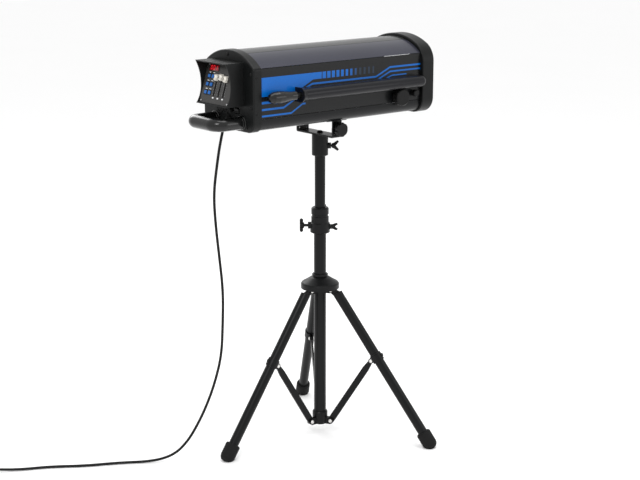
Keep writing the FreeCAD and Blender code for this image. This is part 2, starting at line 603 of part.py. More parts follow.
def yoke():
    """U of flat bar under the lamp: a bottom bar and two round-topped arms."""
    inner_y = YOKE_OUTER_Y - YOKE_T
    w = YOKE_HALF_WIDTH
    base = block(-w, w, -YOKE_OUTER_Y, YOKE_OUTER_Y, SOCKET_TOP, YOKE_FLOOR)
    solids = [base]
    for y0 in (inner_y, -YOKE_OUTER_Y):
        solids.append(block(-w, w, y0, y0 + YOKE_T, SOCKET_TOP, TILT_Z))
        solids.append(bar(w, YOKE_T, (0, y0, TILT_Z), (0, 1, 0)))
    frame = fuse(solids)
    holes = [bar(BOLT_R, YOKE_T, (0, 0, SOCKET_TOP), (0, 0, 1)),
             bar(TILT_BOLT_R, 2 * YOKE_OUTER_Y, (0, -YOKE_OUTER_Y, TILT_Z), (0, 1, 0))]
    for x in (-12.0, 12.0):
        holes.append(bar(2.6, 2 * YOKE_OUTER_Y, (x, -YOKE_OUTER_Y, SOCKET_TOP + 10.0), (0, 1, 0)))
    frame = cut_all(frame, holes)
    edges = []
    for edge in frame.Edges:
        box = edge.BoundBox
        at_bottom = abs(box.ZMax - SOCKET_TOP) < 0.01 and box.XLength > 2 * w - 1.0
        if at_bottom and abs(abs(box.YMin) - YOKE_OUTER_Y) < 0.01:
            edges.append(edge)
    return frame.makeFillet(YOKE_T - 0.5, edges)


def yoke_bolts():
    """Domed bolt through the bottom bar and the far tilt bolt with its nut."""
    dome = [(0, 0), (8.5, 0), (8.5, 1.5), (7.5, 3.5), (4.5, 5.2), (0, 5.8)]
    head = turned(dome, (0, 0, YOKE_FLOOR), (0, 0, 1))
    shank_end = SOCKET_FLOOR + TOP_GAP
    shank = bar(BOLT_R, YOKE_FLOOR - shank_end, (0, 0, shank_end), (0, 0, 1))
    ear_inner = YOKE_OUTER_Y - YOKE_T - EAR_GAP - BRACKET_T
    reach = YOKE_OUTER_Y - ear_inner + 6.0
    tilt = bar(TILT_BOLT_R, reach, (0, ear_inner - 6.0, TILT_Z), (0, 1, 0))
    tilt_dome = [(0, 0), (9.0, 0), (9.0, 1.5), (8.0, 4.0), (5.0, 6.0), (0, 6.6)]
    tilt_head = turned(tilt_dome, (0, YOKE_OUTER_Y, TILT_Z),
                       (0, 1, 0))
    nut = hexagon(8.0, 5.0, (0, ear_inner - 5.4, TILT_Z), (0, 1, 0)).cut(
        bar(TILT_BOLT_R, 5.0, (0, ear_inner - 5.4, TILT_Z), (0, 1, 0)))
    return Part.makeCompound([head.fuse(shank), tilt.fuse(tilt_head), nut])


def hexagon(radius, height, base, direction):
    """Six-sided prism about a direction."""
    points = []
    for step in range(6):
        angle = pi / 3 * step
        points.append(vec(radius * cos(angle), radius * sin(angle), 0))
    solid = Part.Face(Part.makePolygon(points + points[:1])).extrude(vec(0, 0, height))
    solid.Placement = FreeCAD.Placement(vec(*base), FreeCAD.Rotation(vec(0, 0, 1), vec(*direction)))
    return solid


def lobed_knob(radius, lobes, height, base, direction):
    """Hand knob with round lobes cut between grips."""
    body = turned([(0, 0), (radius * 0.6, 0), (radius * 0.62, 4.0), (radius, 6.0), (radius, height - 3.0),
                   (radius - 3.0, height), (0, height)])
    for step in range(lobes):
        angle = 2 * pi * step / lobes
        reach = radius * 1.15
        scoop = bar(radius * 0.3, height, (reach * cos(angle), reach * sin(angle), 0), (0, 0, 1))
        body = body.cut(scoop)
    body.Placement = FreeCAD.Placement(vec(*base), FreeCAD.Rotation(vec(0, 0, 1), vec(*direction)))
    return body


def tilt_knob():
    """Hand knob and stud that lock the tilt on the near arm."""
    ear_inner = YOKE_OUTER_Y - YOKE_T - EAR_GAP - BRACKET_T
    knob = lobed_knob(20.0, 6, 19.0, (0, -YOKE_OUTER_Y - SLIDE_GAP, TILT_Z), (0, -1, 0))
    stud_length = YOKE_OUTER_Y - ear_inner + 10.0
    stud = bar(TILT_BOLT_R - SLIDE_GAP, stud_length, (0, -YOKE_OUTER_Y - 4.0, TILT_Z), (0, 1, 0))
    return knob.fuse(stud)


def lamp_bracket():
    """Saddle screwed under the tray, with an ear inside each yoke arm."""
    outer = YOKE_OUTER_Y - YOKE_T - EAR_GAP
    top = LAMP_Z - BELLY
    half = 34.0
    plate = block(-half, half, -outer, outer, top - BRACKET_T, top)
    solids = [plate]
    for y0 in (outer - BRACKET_T, -outer):
        solids.append(block(-BRACKET_EAR_R, BRACKET_EAR_R, y0, y0 + BRACKET_T, TILT_Z, top - BRACKET_T / 2))
        solids.append(bar(BRACKET_EAR_R, BRACKET_T, (0, y0, TILT_Z), (0, 1, 0)))
    saddle = fuse(solids)
    hole = bar(TILT_BOLT_R + RIVET_GAP, 2 * outer, (0, -outer, TILT_Z), (0, 1, 0))
    return saddle.cut(hole)


def build_yoke():
    export("stand_socket", stand_socket())
    export("yoke", yoke())
    export("yoke_bolts", yoke_bolts())
    export("socket_wing_bolt", wing_bolt(UPPER_R + SLIDE_GAP, SOCKET_WING_REACH, SOCKET_BOLT_Z, WING_ANGLE, 30.0))
    export("tilt_knob", tilt_knob())
    export("lamp_bracket", lamp_bracket())


# -------------------------------------------------------------- lamp casing
def section(x, grow):
    """Closed outline of the lamp body at a station, grown outwards."""
    w = BODY_HALF + grow
    shoulder = LAMP_Z + SHOULDER
    crown = LAMP_Z + CROWN + grow
    bottom = LAMP_Z - BELLY - grow
    r = CORNER_R + grow
    dip = r * (1 - cos(pi / 4))
    edges = [
        Part.LineSegment(vec(x, -w + r, bottom), vec(x, w - r, bottom)),
        Part.Arc(vec(x, w - r, bottom), vec(x, w - dip, bottom + dip), vec(x, w, bottom + r)),
        Part.LineSegment(vec(x, w, bottom + r), vec(x, w, shoulder)),
        Part.Arc(vec(x, w, shoulder), vec(x, 0, crown), vec(x, -w, shoulder)),
        Part.LineSegment(vec(x, -w, shoulder), vec(x, -w, bottom + r)),
        Part.Arc(vec(x, -w, bottom + r), vec(x, -w + dip, bottom + dip), vec(x, -w + r, bottom)),
    ]
    return Part.Wire([edge.toShape() for edge in edges])


def body_solid(x0, x1, grow):
    return Part.Face(section(x0, grow)).extrude(vec(x1 - x0, 0, 0))


def skin():
    return body_solid(BODY_REAR, BODY_FRONT, 0).cut(body_solid(BODY_REAR, BODY_FRONT, -SKIN))


def tray_top():
    return LAMP_Z - BELLY + TRAY_RISE


def bottom_tray():
    tray = skin().common(block(BODY_REAR, BODY_FRONT, -200, 200, 0, tray_top() - SEAM_GAP / 2))
    slots = []
    for x in range(-240, -150, 12):
        slots.append(block(x, x + 5.0, -60, 60, 0, LAMP_Z - BELLY + 5.0))
    for x in range(120, 220, 12):
        slots.append(block(x, x + 5.0, -60, 60, 0, LAMP_Z - BELLY + 5.0))
    return cut_all(tray, slots)


def side_panel_far():
    low = tray_top() + SEAM_GAP / 2
    high = LAMP_Z + SHOULDER - SEAM_GAP / 2
    return skin().common(block(BODY_REAR, BODY_FRONT, BODY_HALF - 10, 200, low, high))


def side_panel_near():
    panel = mirrored(side_panel_far())
    slot = block(ARM_X - ARM_HALF - FOCUS_TRAVEL - 4.0, ARM_X + ARM_HALF + 4.0, -200, 0,
                 LAMP_Z + RAIL_Z - 6.0, LAMP_Z + RAIL_Z + 6.0)
    bush = bar(6.0, 60.0, (SIDE_KNOB_X, 0, LAMP_Z + SIDE_KNOB_Z), (0, -1, 0))
    bush.translate(vec(0, -BODY_HALF + 30.0, 0))
    return cut_all(panel, [slot, bush])


def shoulder_covers():
    cover = skin().common(block(BODY_REAR, BODY_FRONT, SEAM_Y + SEAM_GAP / 2, 200,
                                LAMP_Z + SHOULDER + SEAM_GAP / 2, LAMP_Z + 200))
    return Part.makeCompound([cover, mirrored(cover)])


def top_cover():
    return skin().common(block(BODY_REAR, BODY_FRONT, -SEAM_Y + SEAM_GAP / 2, SEAM_Y - SEAM_GAP / 2,
                               LAMP_Z, LAMP_Z + 200))


def long_edges(shape, x_min, x_max):
    """Edges that run along X at the two shoulders."""
    found = []
    for edge in shape.Edges:
        box = edge.BoundBox
        at_shoulder = abs(box.ZMin - LAMP_Z - SHOULDER) < 0.5
        if box.XLength > (x_max - x_min) * 0.9 and box.YLength < 0.01 and at_shoulder:
            found.append(edge)
    return found


def rear_cap():
    """Cast end plate with a rim that laps over the casing panels."""
    lap = 8.0
    cap = body_solid(CAP_REAR, BODY_REAR + lap, CAP_GROW)
    cap = cap.makeFillet(10.0, long_edges(cap, CAP_REAR, BODY_REAR + lap))
    rim_edges = [edge for edge in cap.Edges if abs(edge.BoundBox.XMax - CAP_REAR) < 0.01]
    cap = cap.makeFillet(4.0, rim_edges)
    cap = cap.cut(body_solid(BODY_REAR, BODY_REAR + lap + 1.0, FIT))
    cap = cap.cut(body_solid(BODY_REAR - 10.0, BODY_REAR, -SKIN - 3.0))
    holes = [bar(2.6, 40.0, (CAP_REAR - 1.0, y, LAMP_Z + z), (1, 0, 0)) for y, z in cap_screw_spots()]
    holes.append(bar(CORD_R + RELIEF_WALL, 40.0, (CAP_REAR - 1.0, RELIEF_Y, LAMP_Z + RELIEF_Z), (1, 0, 0)))
    for y in CONNECTOR_Y:
        holes.append(bar(11.5, 40.0, (CAP_REAR - 1.0, y, LAMP_Z + CONNECTOR_Z), (1, 0, 0)))
    holes.append(block(CAP_REAR - 1.0, BODY_REAR, SWITCH_Y - SWITCH_HALF - 1.0, SWITCH_Y + SWITCH_HALF + 1.0,
                       LAMP_Z + CONNECTOR_Z - 8.5, LAMP_Z + CONNECTOR_Z + 8.5))
    for side in (-1, 1):
        holes.append(bar(4.0, 40.0, (CAP_REAR - 1.0, side * HANDLE_HALF, LAMP_Z + HANDLE_Z), (1, 0, 0)))
    return cut_all(cap, holes)


def cap_screw_spots():
    """Screw centres on the rear cap, as (y, z) from the optical axis."""
    return [(0.0, CROWN - 9.0), (BODY_HALF - 9.0, SHOULDER - 14.0), (-BODY_HALF + 9.0, SHOULDER - 14.0),
            (BODY_HALF - 9.0, -50.0), (-BODY_HALF + 9.0, -50.0), (BODY_HALF - 30.0, -BELLY + 10.0),
            (-BODY_HALF + 30.0, -BELLY + 10.0)]


def rounded_outline(x, corners):
    """Closed outline at a station, from (y, z, radius) corners joined by straight runs."""
    count = len(corners)
    arcs = []
    for index in range(count):
        before = vec(x, *corners[index - 1][:2])
        corner = vec(x, *corners[index][:2])
        after = vec(x, *corners[(index + 1) % count][:2])
        radius = corners[index][2]
        u = (corner - before).normalize()
        v = (after - corner).normalize()
        half_turn = u.getAngle(v) / 2
        reach = radius * tan(half_turn)
        bisector = (v - u).normalize()
        middle = corner + bisector * (radius / cos(half_turn) - radius)
        arcs.append((corner - u * reach, middle, corner + v * reach))
    edges = []
    for index in range(count):
        edges.append(Part.LineSegment(arcs[index - 1][2], arcs[index][0]).toShape())
        edges.append(Part.Arc(*arcs[index]).toShape())
    return Part.Wire(edges)


def front_outline(x, grow):
    """Soft oval of the front flange, its crown as round as the slopes beside it allow."""
    w = BODY_HALF + grow
    shoulder = LAMP_Z + SHOULDER + 10.0
    ridge = LAMP_Z + CROWN + grow * 0.7 + 21.5
    bottom = LAMP_Z - BELLY - grow * 0.5
    slope = atan2(ridge - shoulder, w)
    corner_reach = FLANGE_CORNER_R * tan((pi / 2 - slope) / 2)
    crown_r = FLANGE_CROWN_SHARE * (w / cos(slope) - corner_reach) / tan(slope)
    corners = [(w, bottom, FLANGE_FOOT_R), (w, shoulder, FLANGE_CORNER_R), (0, ridge, crown_r),
               (-w, shoulder, FLANGE_CORNER_R), (-w, bottom, FLANGE_FOOT_R)]
    return rounded_outline(x, corners)


def front_cap():
    """Cast front flange with the lens seat."""
    x0 = BODY_FRONT - FRONT_LAP
    cap = Part.Face(front_outline(x0, FRONT_GROW)).extrude(vec(CAP_FRONT - x0, 0, 0))
    edges = [edge for edge in cap.Edges if abs(edge.BoundBox.XMin - CAP_FRONT) < 0.01]
    edges += [edge for edge in cap.Edges if abs(edge.BoundBox.XMax - x0) < 0.01]
    cap = cap.makeFillet(3.5, edges)
    through = 2 * FRONT_CAP_DEPTH
    mouth_depth = 14.0
    mouth = turned([(0, 0), (LENS_SEAT_R + 1.0, 0), (LENS_SEAT_R + 9.0, mouth_depth), (0, mouth_depth)],
                   (CAP_FRONT - mouth_depth, 0, LAMP_Z), (1, 0, 0))
    tools = [body_solid(x0 - 1.0, BODY_FRONT, FIT), front_pocket(),
             bar(LENS_SEAT_R - 6.0, through, (BODY_FRONT - 1.0, 0, LAMP_Z), (1, 0, 0)),
             bar(LENS_SEAT_R, through, (LENS_X, 0, LAMP_Z), (1, 0, 0)), mouth]
    for y, z in front_screw_spots():
        tools.append(bar(SCREW_R, SCREW_DEPTH, (CAP_FRONT - SCREW_DEPTH, y, LAMP_Z + z), (1, 0, 0)))
    return cut_all(cap, tools)


def front_pocket():
    """Hollow behind the flange's face, round the lens seat and the screw bosses."""
    depth = CAP_FRONT - FRONT_FACE_T - BODY_FRONT
    pocket = Part.Face(front_outline(BODY_FRONT, -4.0)).extrude(vec(depth, 0, 0))
    cores = [bar(LENS_SEAT_R + 11.0, depth, (BODY_FRONT, 0, LAMP_Z), (1, 0, 0))]
    for y, z in front_screw_spots():
        cores.append(bar(3 * SCREW_R, depth, (BODY_FRONT, y, LAMP_Z + z), (1, 0, 0)))
    return cut_all(pocket, cores)


def front_screw_spots():
    return [(82.0, 62.0), (-82.0, 62.0), (82.0, -76.0), (-82.0, -76.0)]


def front_lens():
    """Plano-convex lens, its curved face outwards."""
    rim = LENS_RIM
    sag = LENS_T - rim
    radius = (LENS_R ** 2 + sag ** 2) / (2 * sag)
    points = [vec(0, 0, 0), vec(LENS_R, 0, 0), vec(LENS_R, 0, rim)]
    angle = asin(LENS_R / radius) / 2
    middle = vec(radius * sin(angle), 0, rim + sag - radius + radius * cos(angle))
    apex = vec(0, 0, LENS_T)
    edges = [Part.LineSegment(points[0], points[1]).toShape(),
             Part.LineSegment(points[1], points[2]).toShape(),
             Part.Arc(points[2], middle, apex).toShape(), Part.LineSegment(apex, points[0]).toShape()]
    lens = Part.Face(Part.Wire(edges)).revolve(vec(0, 0, 0), vec(0, 0, 1), 360)
    forward = FreeCAD.Rotation(vec(0, 0, 1), vec(1, 0, 0))
    lens.Placement = FreeCAD.Placement(vec(LENS_X + FIT, 0, LAMP_Z), forward)
    return lens


def lens_retainer():
    """Ring that holds the lens against its seat."""
    start = LENS_X + LENS_RIM + 2 * FIT
    profile = [(LENS_R - 5.0, 3.2), (LENS_R - 2.0, 0), (LENS_SEAT_R - FIT, 0), (LENS_SEAT_R - FIT, 8.0),
               (LENS_R - 3.0, 8.0), (LENS_R - 5.0, 6.0)]
    return turned(profile, (start, 0, LAMP_Z), (1, 0, 0))


def pan_head(radius, height, base, direction):
    profile = [(0, 0), (radius, 0), (radius, height * 0.45), (radius * 0.6, height), (0, height)]
    return turned(profile, base, direction)


def casing_screws():
    """Screws of both end caps, of the rail and of the bracket."""
    screws = []
    for y, z in cap_screw_spots():
        head = pan_head(4.6, 2.6, (CAP_REAR, y, LAMP_Z + z), (-1, 0, 0))
        screws.append(head.fuse(bar(2.5, 14.0, (CAP_REAR, y, LAMP_Z + z), (1, 0, 0))))
    shank = SCREW_DEPTH - 2.0
    for y, z in front_screw_spots():
        head = pan_head(4.0, 2.4, (CAP_FRONT, y, LAMP_Z + z), (1, 0, 0))
        screws.append(head.fuse(bar(SCREW_R - FIT, shank, (CAP_FRONT - shank, y, LAMP_Z + z), (1, 0, 0))))
    screws.append(side_thumb_screw())
    return Part.makeCompound(screws)


# ------------------------------------------------------------- focus control
def focus_rail():
    """Half-round guide on the near side, flared at the rear and closed at the front."""
    z = LAMP_Z + RAIL_Z
    face = -BODY_HALF - FIT

    def length_of(radius, x0, x1):
        round_part = bar(radius, x1 - x0, (x0, RAIL_Y, z), (1, 0, 0))
        back = block(x0, x1, RAIL_Y, face, z - radius, z + radius)
        return round_part.fuse(back)

    body = length_of(RAIL_HALF_H, RAIL_REAR + 14.0, RAIL_FRONT - RAIL_HALF_H)
    nose = Part.makeSphere(RAIL_HALF_H, vec(RAIL_FRONT - RAIL_HALF_H, RAIL_Y, z))
    nose_back = bar(RAIL_HALF_H, face - RAIL_Y, (RAIL_FRONT - RAIL_HALF_H, RAIL_Y, z), (0, 1, 0))
    flare = turned([(0, 0), (RAIL_HALF_H + 4.0, 0), (RAIL_HALF_H + 4.0, 3.0), (RAIL_HALF_H + 1.5, 6.0),
                    (RAIL_HALF_H, 14.0), (0, 14.0)], (RAIL_REAR, RAIL_Y, z), (1, 0, 0))
    collar_half = RAIL_HALF_H + 3.0
    flare = flare.fuse(block(RAIL_REAR, RAIL_REAR + 6.0, RAIL_Y, face, z - collar_half, z + collar_half))
    flare = flare.cut(block(RAIL_REAR - 5.0, RAIL_REAR + 30.0, face, 0, z - 60.0, z + 60.0))
    foot = block(RAIL_REAR, RAIL_REAR + 16.0, RAIL_Y, face, z - RAIL_HALF_H, z + RAIL_HALF_H)
    rail = fuse([body, nose, nose_back, flare, foot])
    bore = bar(RAIL_BORE_R, ROD_END + 12.0 - RAIL_REAR, (RAIL_REAR - 1.0, RAIL_Y, z), (1, 0, 0))
    slot = block(ARM_X - ARM_HALF - FOCUS_TRAVEL - 3.0, ARM_X + ARM_HALF + 3.0, RAIL_Y, 0, z - 5.0, z + 5.0)
    return cut_all(rail, [bore, slot])


def focus_rod():
    """Sliding rod with its carriage arm, and the grip on its rear end."""
    z = LAMP_Z + RAIL_Z
    grip_front = RAIL_REAR - 12.0
    rod = bar(ROD_R, ROD_END - grip_front + 40.0, (grip_front - 40.0, RAIL_Y, z), (1, 0, 0))
    arm = block(ARM_X - ARM_HALF, ARM_X + ARM_HALF, RAIL_Y, -CARRIAGE_R - 2.0, z - 4.0, z + 4.0)
    length = GRIP_LENGTH
    profile = [(ROD_R, 0), (10.0, 0), (12.0, 4.0), (12.5, 20.0), (GRIP_R - 1.0, 46.0), (GRIP_R, 62.0),
               (GRIP_R - 1.5, 78.0), (GRIP_R - 7.0, 89.0), (0, length), (0, 40.0), (ROD_R, 40.0)]
    grip = turned(profile, (grip_front, RAIL_Y, z), (-1, 0, 0))
    return Part.makeCompound([fuse([rod, arm]), grip])


def zoom_carriage():
    """Lens ring that slides on the guide rods, with its lens."""
    half = 9.0
    holder = ring(CARRIAGE_R, CARRIAGE_R - 7.0, 2 * half, (ARM_X - half, 0, LAMP_Z), (1, 0, 0))
    lugs = []
    for side in (-1, 1):
        y0, y1 = sorted((side * 40.0, side * (GUIDE_Y + 9.0)))
        lugs.append(block(ARM_X - half, ARM_X + half, y0, y1, LAMP_Z + GUIDE_Z - 9.0, LAMP_Z + GUIDE_Z + 9.0))
    lugs.append(block(ARM_X - half, ARM_X + half, -CARRIAGE_R - 2.0, -CARRIAGE_R + 12.0,
                      LAMP_Z + RAIL_Z - 8.0, LAMP_Z + RAIL_Z + 8.0))
    holder = fuse([holder] + lugs)
    holder = holder.cut(bar(CARRIAGE_R - 7.0, 60.0, (ARM_X - 30.0, 0, LAMP_Z), (1, 0, 0)))
    for side in (-1, 1):
        seat = (ARM_X - 20.0, side * GUIDE_Y, LAMP_Z + GUIDE_Z)
        holder = holder.cut(bar(GUIDE_R + 0.2, 40.0, seat, (1, 0, 0)))
    lens = turned([(0, -9.0), (CARRIAGE_R * 0.5, -6.0), (CARRIAGE_R - 7.0, -2.0), (CARRIAGE_R - 7.0, 2.0),
                   (CARRIAGE_R * 0.5, 6.0), (0, 9.0)], (ARM_X, 0, LAMP_Z), (1, 0, 0))
    return Part.makeCompound([holder, lens])


def guide_rods():
    rods = []
    for side in (-1, 1):
        rods.append(bar(GUIDE_R, 330.0, (-90.0, side * GUIDE_Y, LAMP_Z + GUIDE_Z), (1, 0, 0)))
        for x in (-94.0, 240.0):
            post = block(x - 4.0, x + 4.0, side * GUIDE_Y - 6.5, side * GUIDE_Y + 6.5,
                         LAMP_Z - BELLY + SKIN, LAMP_Z + GUIDE_Z + 8.0)
            rods.append(post)
    return Part.makeCompound([fuse(rods[0:3]), fuse(rods[3:6])])


def side_knob():
    """Fluted clamp knob near the front, with its threaded stem."""
    face = -BODY_HALF
    radius = 24.0
    height = 22.0
    x, z = SIDE_KNOB_X, LAMP_Z + SIDE_KNOB_Z
    body = turned([(0, 0), (12.0, 0), (12.0, 5.0), (radius, 7.0), (radius, 5.0 + height - 3.0),
                   (radius - 3.0, 5.0 + height), (0, 5.0 + height)])
    flutes = []
    for step in range(18):
        angle = 2 * pi * step / 18
        reach = radius + 0.7
        flutes.append(bar(1.9, 30.0, (reach * cos(angle), reach * sin(angle), 5.0), (0, 0, 1)))
    body = cut_all(body, flutes)
    outward = FreeCAD.Rotation(vec(0, 0, 1), vec(0, -1, 0))
    body.Placement = FreeCAD.Placement(vec(x, face - SLIDE_GAP, z), outward)
    stem = bar(STEM_R - SLIDE_GAP, 12.0, (x, face - SLIDE_GAP - 1.0, z), (0, 1, 0))
    return body.fuse(stem)


def side_thumb_screw():
    """Small clamp screw ahead of the side knob."""
    x, z = THUMB_SCREW_X, LAMP_Z + THUMB_SCREW_Z
    head = turned([(0, 0), (5.0, 0), (5.0, 6.0), (10.0, 7.0), (10.0, 17.0), (8.0, 19.0), (0, 19.0)])
    flutes = []
    for step in range(12):
        angle = 2 * pi * step / 12
        flutes.append(bar(1.1, 20.0, (10.4 * cos(angle), 10.4 * sin(angle), 7.0), (0, 0, 1)))
    head = cut_all(head, flutes)
    outward = FreeCAD.Rotation(vec(0, 0, 1), vec(0, -1, 0))
    head.Placement = FreeCAD.Placement(vec(x, -BODY_HALF - SLIDE_GAP, z), outward)
    return head


def build_casing():
    export("bottom_tray", bottom_tray())
    export("side_panel_near", side_panel_near())
    export("side_panel_far", side_panel_far())
    export("shoulder_covers", shoulder_covers())
    export("top_cover", top_cover())
    export("rear_cap", rear_cap())
    export("front_cap", front_cap())
    export("front_lens", front_lens())
    export("lens_retainer", lens_retainer())
    export("casing_screws", casing_screws())
    export("focus_rail", focus_rail())
    export("focus_rod", focus_rod())
    export("zoom_carriage", zoom_carriage())
    export("guide_rods", guide_rods())
    export("side_knob", side_knob())


# ------------------------------------------------------------ light internals
def light_engine():
    """Finned heat sink, light board, reflector, driver box and wheel motor."""
    face = SINK_REAR + SINK_DEPTH
    half = SINK_HALF
    z = LAMP_Z
    plate = block(face - SINK_PLATE_T, face, -half, half, z - half, z + half)
    fins = []
    for step in range(SINK_FINS):
        y = FIN_PITCH * (step - SINK_FINS / 2)
        fins.append(block(SINK_REAR, face - SINK_PLATE_T / 2, y, y + SINK_FIN_T, z - half, z + half))
    foot = block(SINK_REAR + 10.0, face, -SINK_FOOT_HALF, SINK_FOOT_HALF, z - BELLY + SKIN, z - half)
    sink = fuse([plate, foot] + fins)
    board = block(face + FIT, face + BOARD_T, -BOARD_HALF, BOARD_HALF, z - BOARD_HALF, z + BOARD_HALF)
    mouth = REFLECTOR_R - REFLECTOR_T
    flare = [(REFLECTOR_ROOT_R, 0), (REFLECTOR_ROOT_R + REFLECTOR_T, 0), (REFLECTOR_R, REFLECTOR_H - 2.0),
             (REFLECTOR_R, REFLECTOR_H), (mouth, REFLECTOR_H), (mouth, REFLECTOR_H - 2.0)]
    reflector = turned(flare, (face + 2 * FIT, 0, z), (1, 0, 0))
    return Part.makeCompound([sink, board, reflector, driver_box(), wheel_motor()])


def fan_rotor():
    """Cooling fan behind the heat sink."""
    hub = bar(FAN_HUB_R, FAN_HUB_H, (FAN_X, 0, LAMP_Z), (1, 0, 0))
    middle = FAN_X + FAN_HUB_H / 2
    blades = []
    for step in range(FAN_BLADES):
        blade = block(middle - 5.0, middle + 5.0, FAN_HUB_R - 4.0, FAN_R, -1.0, 1.0)
        blade.rotate(vec(middle, 0, 0), vec(0, 1, 0), BLADE_TWIST)
        blade.rotate(vec(0, 0, 0), vec(1, 0, 0), 360.0 * step / FAN_BLADES)
        blade.translate(vec(0, 0, LAMP_Z))
        blades.append(blade)
    return fuse([hub] + blades)


def color_wheel():
    """Filter wheel on its motor shaft, one open station and the rest filters."""
    z = LAMP_Z + WHEEL_Z
    disc = bar(WHEEL_R, WHEEL_T, (WHEEL_X, 0, z), (1, 0, 0))
    glasses = []
    for step in range(WHEEL_STATIONS):
        angle = 2 * pi * step / WHEEL_STATIONS + pi / 2
        y, height = WHEEL_PITCH_R * cos(angle), z + WHEEL_PITCH_R * sin(angle)
        disc = disc.cut(bar(FILTER_R, WHEEL_T, (WHEEL_X, y, height), (1, 0, 0)))
        if step:
            glasses.append(bar(FILTER_R - FIT, FILTER_T, (WHEEL_X + 0.4, y, height), (1, 0, 0)))
    shaft = bar(WHEEL_SHAFT_R, 22.0, (WHEEL_X - 8.0, 0, z), (1, 0, 0))
    return Part.makeCompound([disc.fuse(shaft)] + glasses)


def driver_box():
    """Driver box on the tray floor, between the guide rods."""
    floor = LAMP_Z - BELLY + SKIN
    return block(DRIVER_X, DRIVER_X + DRIVER_LENGTH, -DRIVER_HALF, DRIVER_HALF, floor, floor + DRIVER_H)


def wheel_motor():
    """Stepper motor of the filter wheel, on its own foot."""
    z = LAMP_Z + WHEEL_Z
    front = WHEEL_X - 8.6
    rear = front - MOTOR_LENGTH
    motor = block(rear, front, -MOTOR_HALF, MOTOR_HALF, z - MOTOR_HALF, z + MOTOR_HALF)
    foot = block(rear, front - 3.4, -MOTOR_HALF, MOTOR_HALF, LAMP_Z - BELLY + SKIN, z - MOTOR_HALF)
    return motor.fuse(foot).removeSplitter()


def build_internals():
    export("light_engine", light_engine())
    export("fan_rotor", fan_rotor())
    export("color_wheel", color_wheel())


# --------------------------------------------------------------- control box
def box_side(y, inset):
    """Side outline of the control box: a hood lip above and a kick lip below."""
    top = LAMP_Z + BOX_TOP - inset
    bottom = LAMP_Z + BOX_BOTTOM + inset
    rear = BOX_REAR
    waist = BOX_REAR + 17.0
    curve = Part.BSplineCurve()
    curve.interpolate([vec(rear, y, top), vec(rear + 8.0, y, top - 16.0), vec(waist, y, LAMP_Z + 8.0),
                       vec(waist - 3.0, y, LAMP_Z - 22.0), vec(rear + 1.0, y, bottom)])
    edges = [Part.LineSegment(vec(CAP_REAR, y, top), vec(rear, y, top)).toShape(), curve.toShape(),
             Part.LineSegment(vec(rear + 1.0, y, bottom), vec(CAP_REAR, y, bottom)).toShape(),
             Part.LineSegment(vec(CAP_REAR, y, bottom), vec(CAP_REAR, y, top)).toShape()]
    return Part.Wire(edges)


def control_box():
    """Moulded hood round the control panel, open to the rear."""
    shell = Part.Face(box_side(-BOX_HALF, 0)).extrude(vec(0, 2 * BOX_HALF, 0))
    inner = block(BOX_REAR - 20.0, CAP_REAR - 4.0, -BOX_HALF + BOX_WALL, BOX_HALF - BOX_WALL,
                  LAMP_Z + BOX_BOTTOM + BOX_WALL, LAMP_Z + BOX_TOP - BOX_WALL)
    return shell.cut(inner)


def leaned(shape):
    """The shape leaned with the panel about the foot of its face."""
    foot = vec(PANEL_X, 0, LAMP_Z + BOX_BOTTOM + BOX_WALL)
    shape.rotate(foot, vec(0, 1, 0), PANEL_LEAN)
    return shape


def control_panel():
    """Leaning panel plate with its display window, button holes and fader slots."""
    half = BOX_HALF - BOX_WALL - FIT
    low = LAMP_Z + BOX_BOTTOM + BOX_WALL + FIT
    high = LAMP_Z + BOX_TOP - BOX_WALL - FIT
    front = PANEL_X + PANEL_T
    plate = block(PANEL_X, front, -half, half, low - 10.0, high + 10.0)
    hole = BUTTON_HALF + BUTTON_GAP
    holes = []
    for y in BUTTON_COLUMNS:
        for z in BUTTON_ROWS:
            middle = LAMP_Z + z
            holes.append(block(PANEL_X, front, y - hole, y + hole, middle - hole, middle + hole))
    middle = LAMP_Z + FADER_MID
    for y in FADER_COLUMNS:
        holes.append(block(PANEL_X, front, y - FADER_SLOT_R, y + FADER_SLOT_R, middle - FADER_SLOT_HALF,
                           middle + FADER_SLOT_HALF))
    room = block(BOX_REAR, CAP_REAR - 4.0 - FIT, -half, half, low, high)
    plate = leaned(cut_all(plate, holes)).common(room)
    display = block(PANEL_X - 1.5, PANEL_X, *DISPLAY_Y, LAMP_Z + DISPLAY_Z[0], LAMP_Z + DISPLAY_Z[1])
    return Part.makeCompound([plate, leaned(display)])


def button(y, z):
    """Square push button with a domed cap and a collar behind the panel."""
    half = BUTTON_HALF
    middle = LAMP_Z + z
    face = PANEL_X - BUTTON_RISE
    stem = block(face, PANEL_X + PANEL_T + 3.0, y - half, y + half, middle - half, middle + half)
    front = [edge for edge in stem.Edges if abs(edge.BoundBox.XMax - face) < 0.01]
    stem = stem.makeFillet(1.2, front)
    collar_x = PANEL_X + PANEL_T + 0.3
    wide = half + 1.5
    collar = block(collar_x, collar_x + 1.5, y - wide, y + wide, middle - wide, middle + wide)
    return leaned(stem.fuse(collar).removeSplitter())


def fader_knob(y, position):
    """Scooped fader cap on its slider stem."""
    z = LAMP_Z + FADER_MID + position
    width = 2 * FADER_CAP_HALF
    stem = block(PANEL_X - 3.0, PANEL_X + PANEL_T + 4.0, y - 1.2, y + 1.2, z - 3.0, z + 3.0)
    x0 = PANEL_X - 11.0
    x1 = PANEL_X - 0.8
    side = y - FADER_CAP_HALF
    limits = block(x0, x1, side, side + width, z - 9.0, z + 9.0)
    outer = bar(9.0, width, (x1 - 1.0, side, z), (0, 1, 0)).common(limits)
    scoop = bar(7.0, width, (x0 - 2.6, side, z), (0, 1, 0))
    return leaned(stem.fuse(outer.cut(scoop)).removeSplitter())


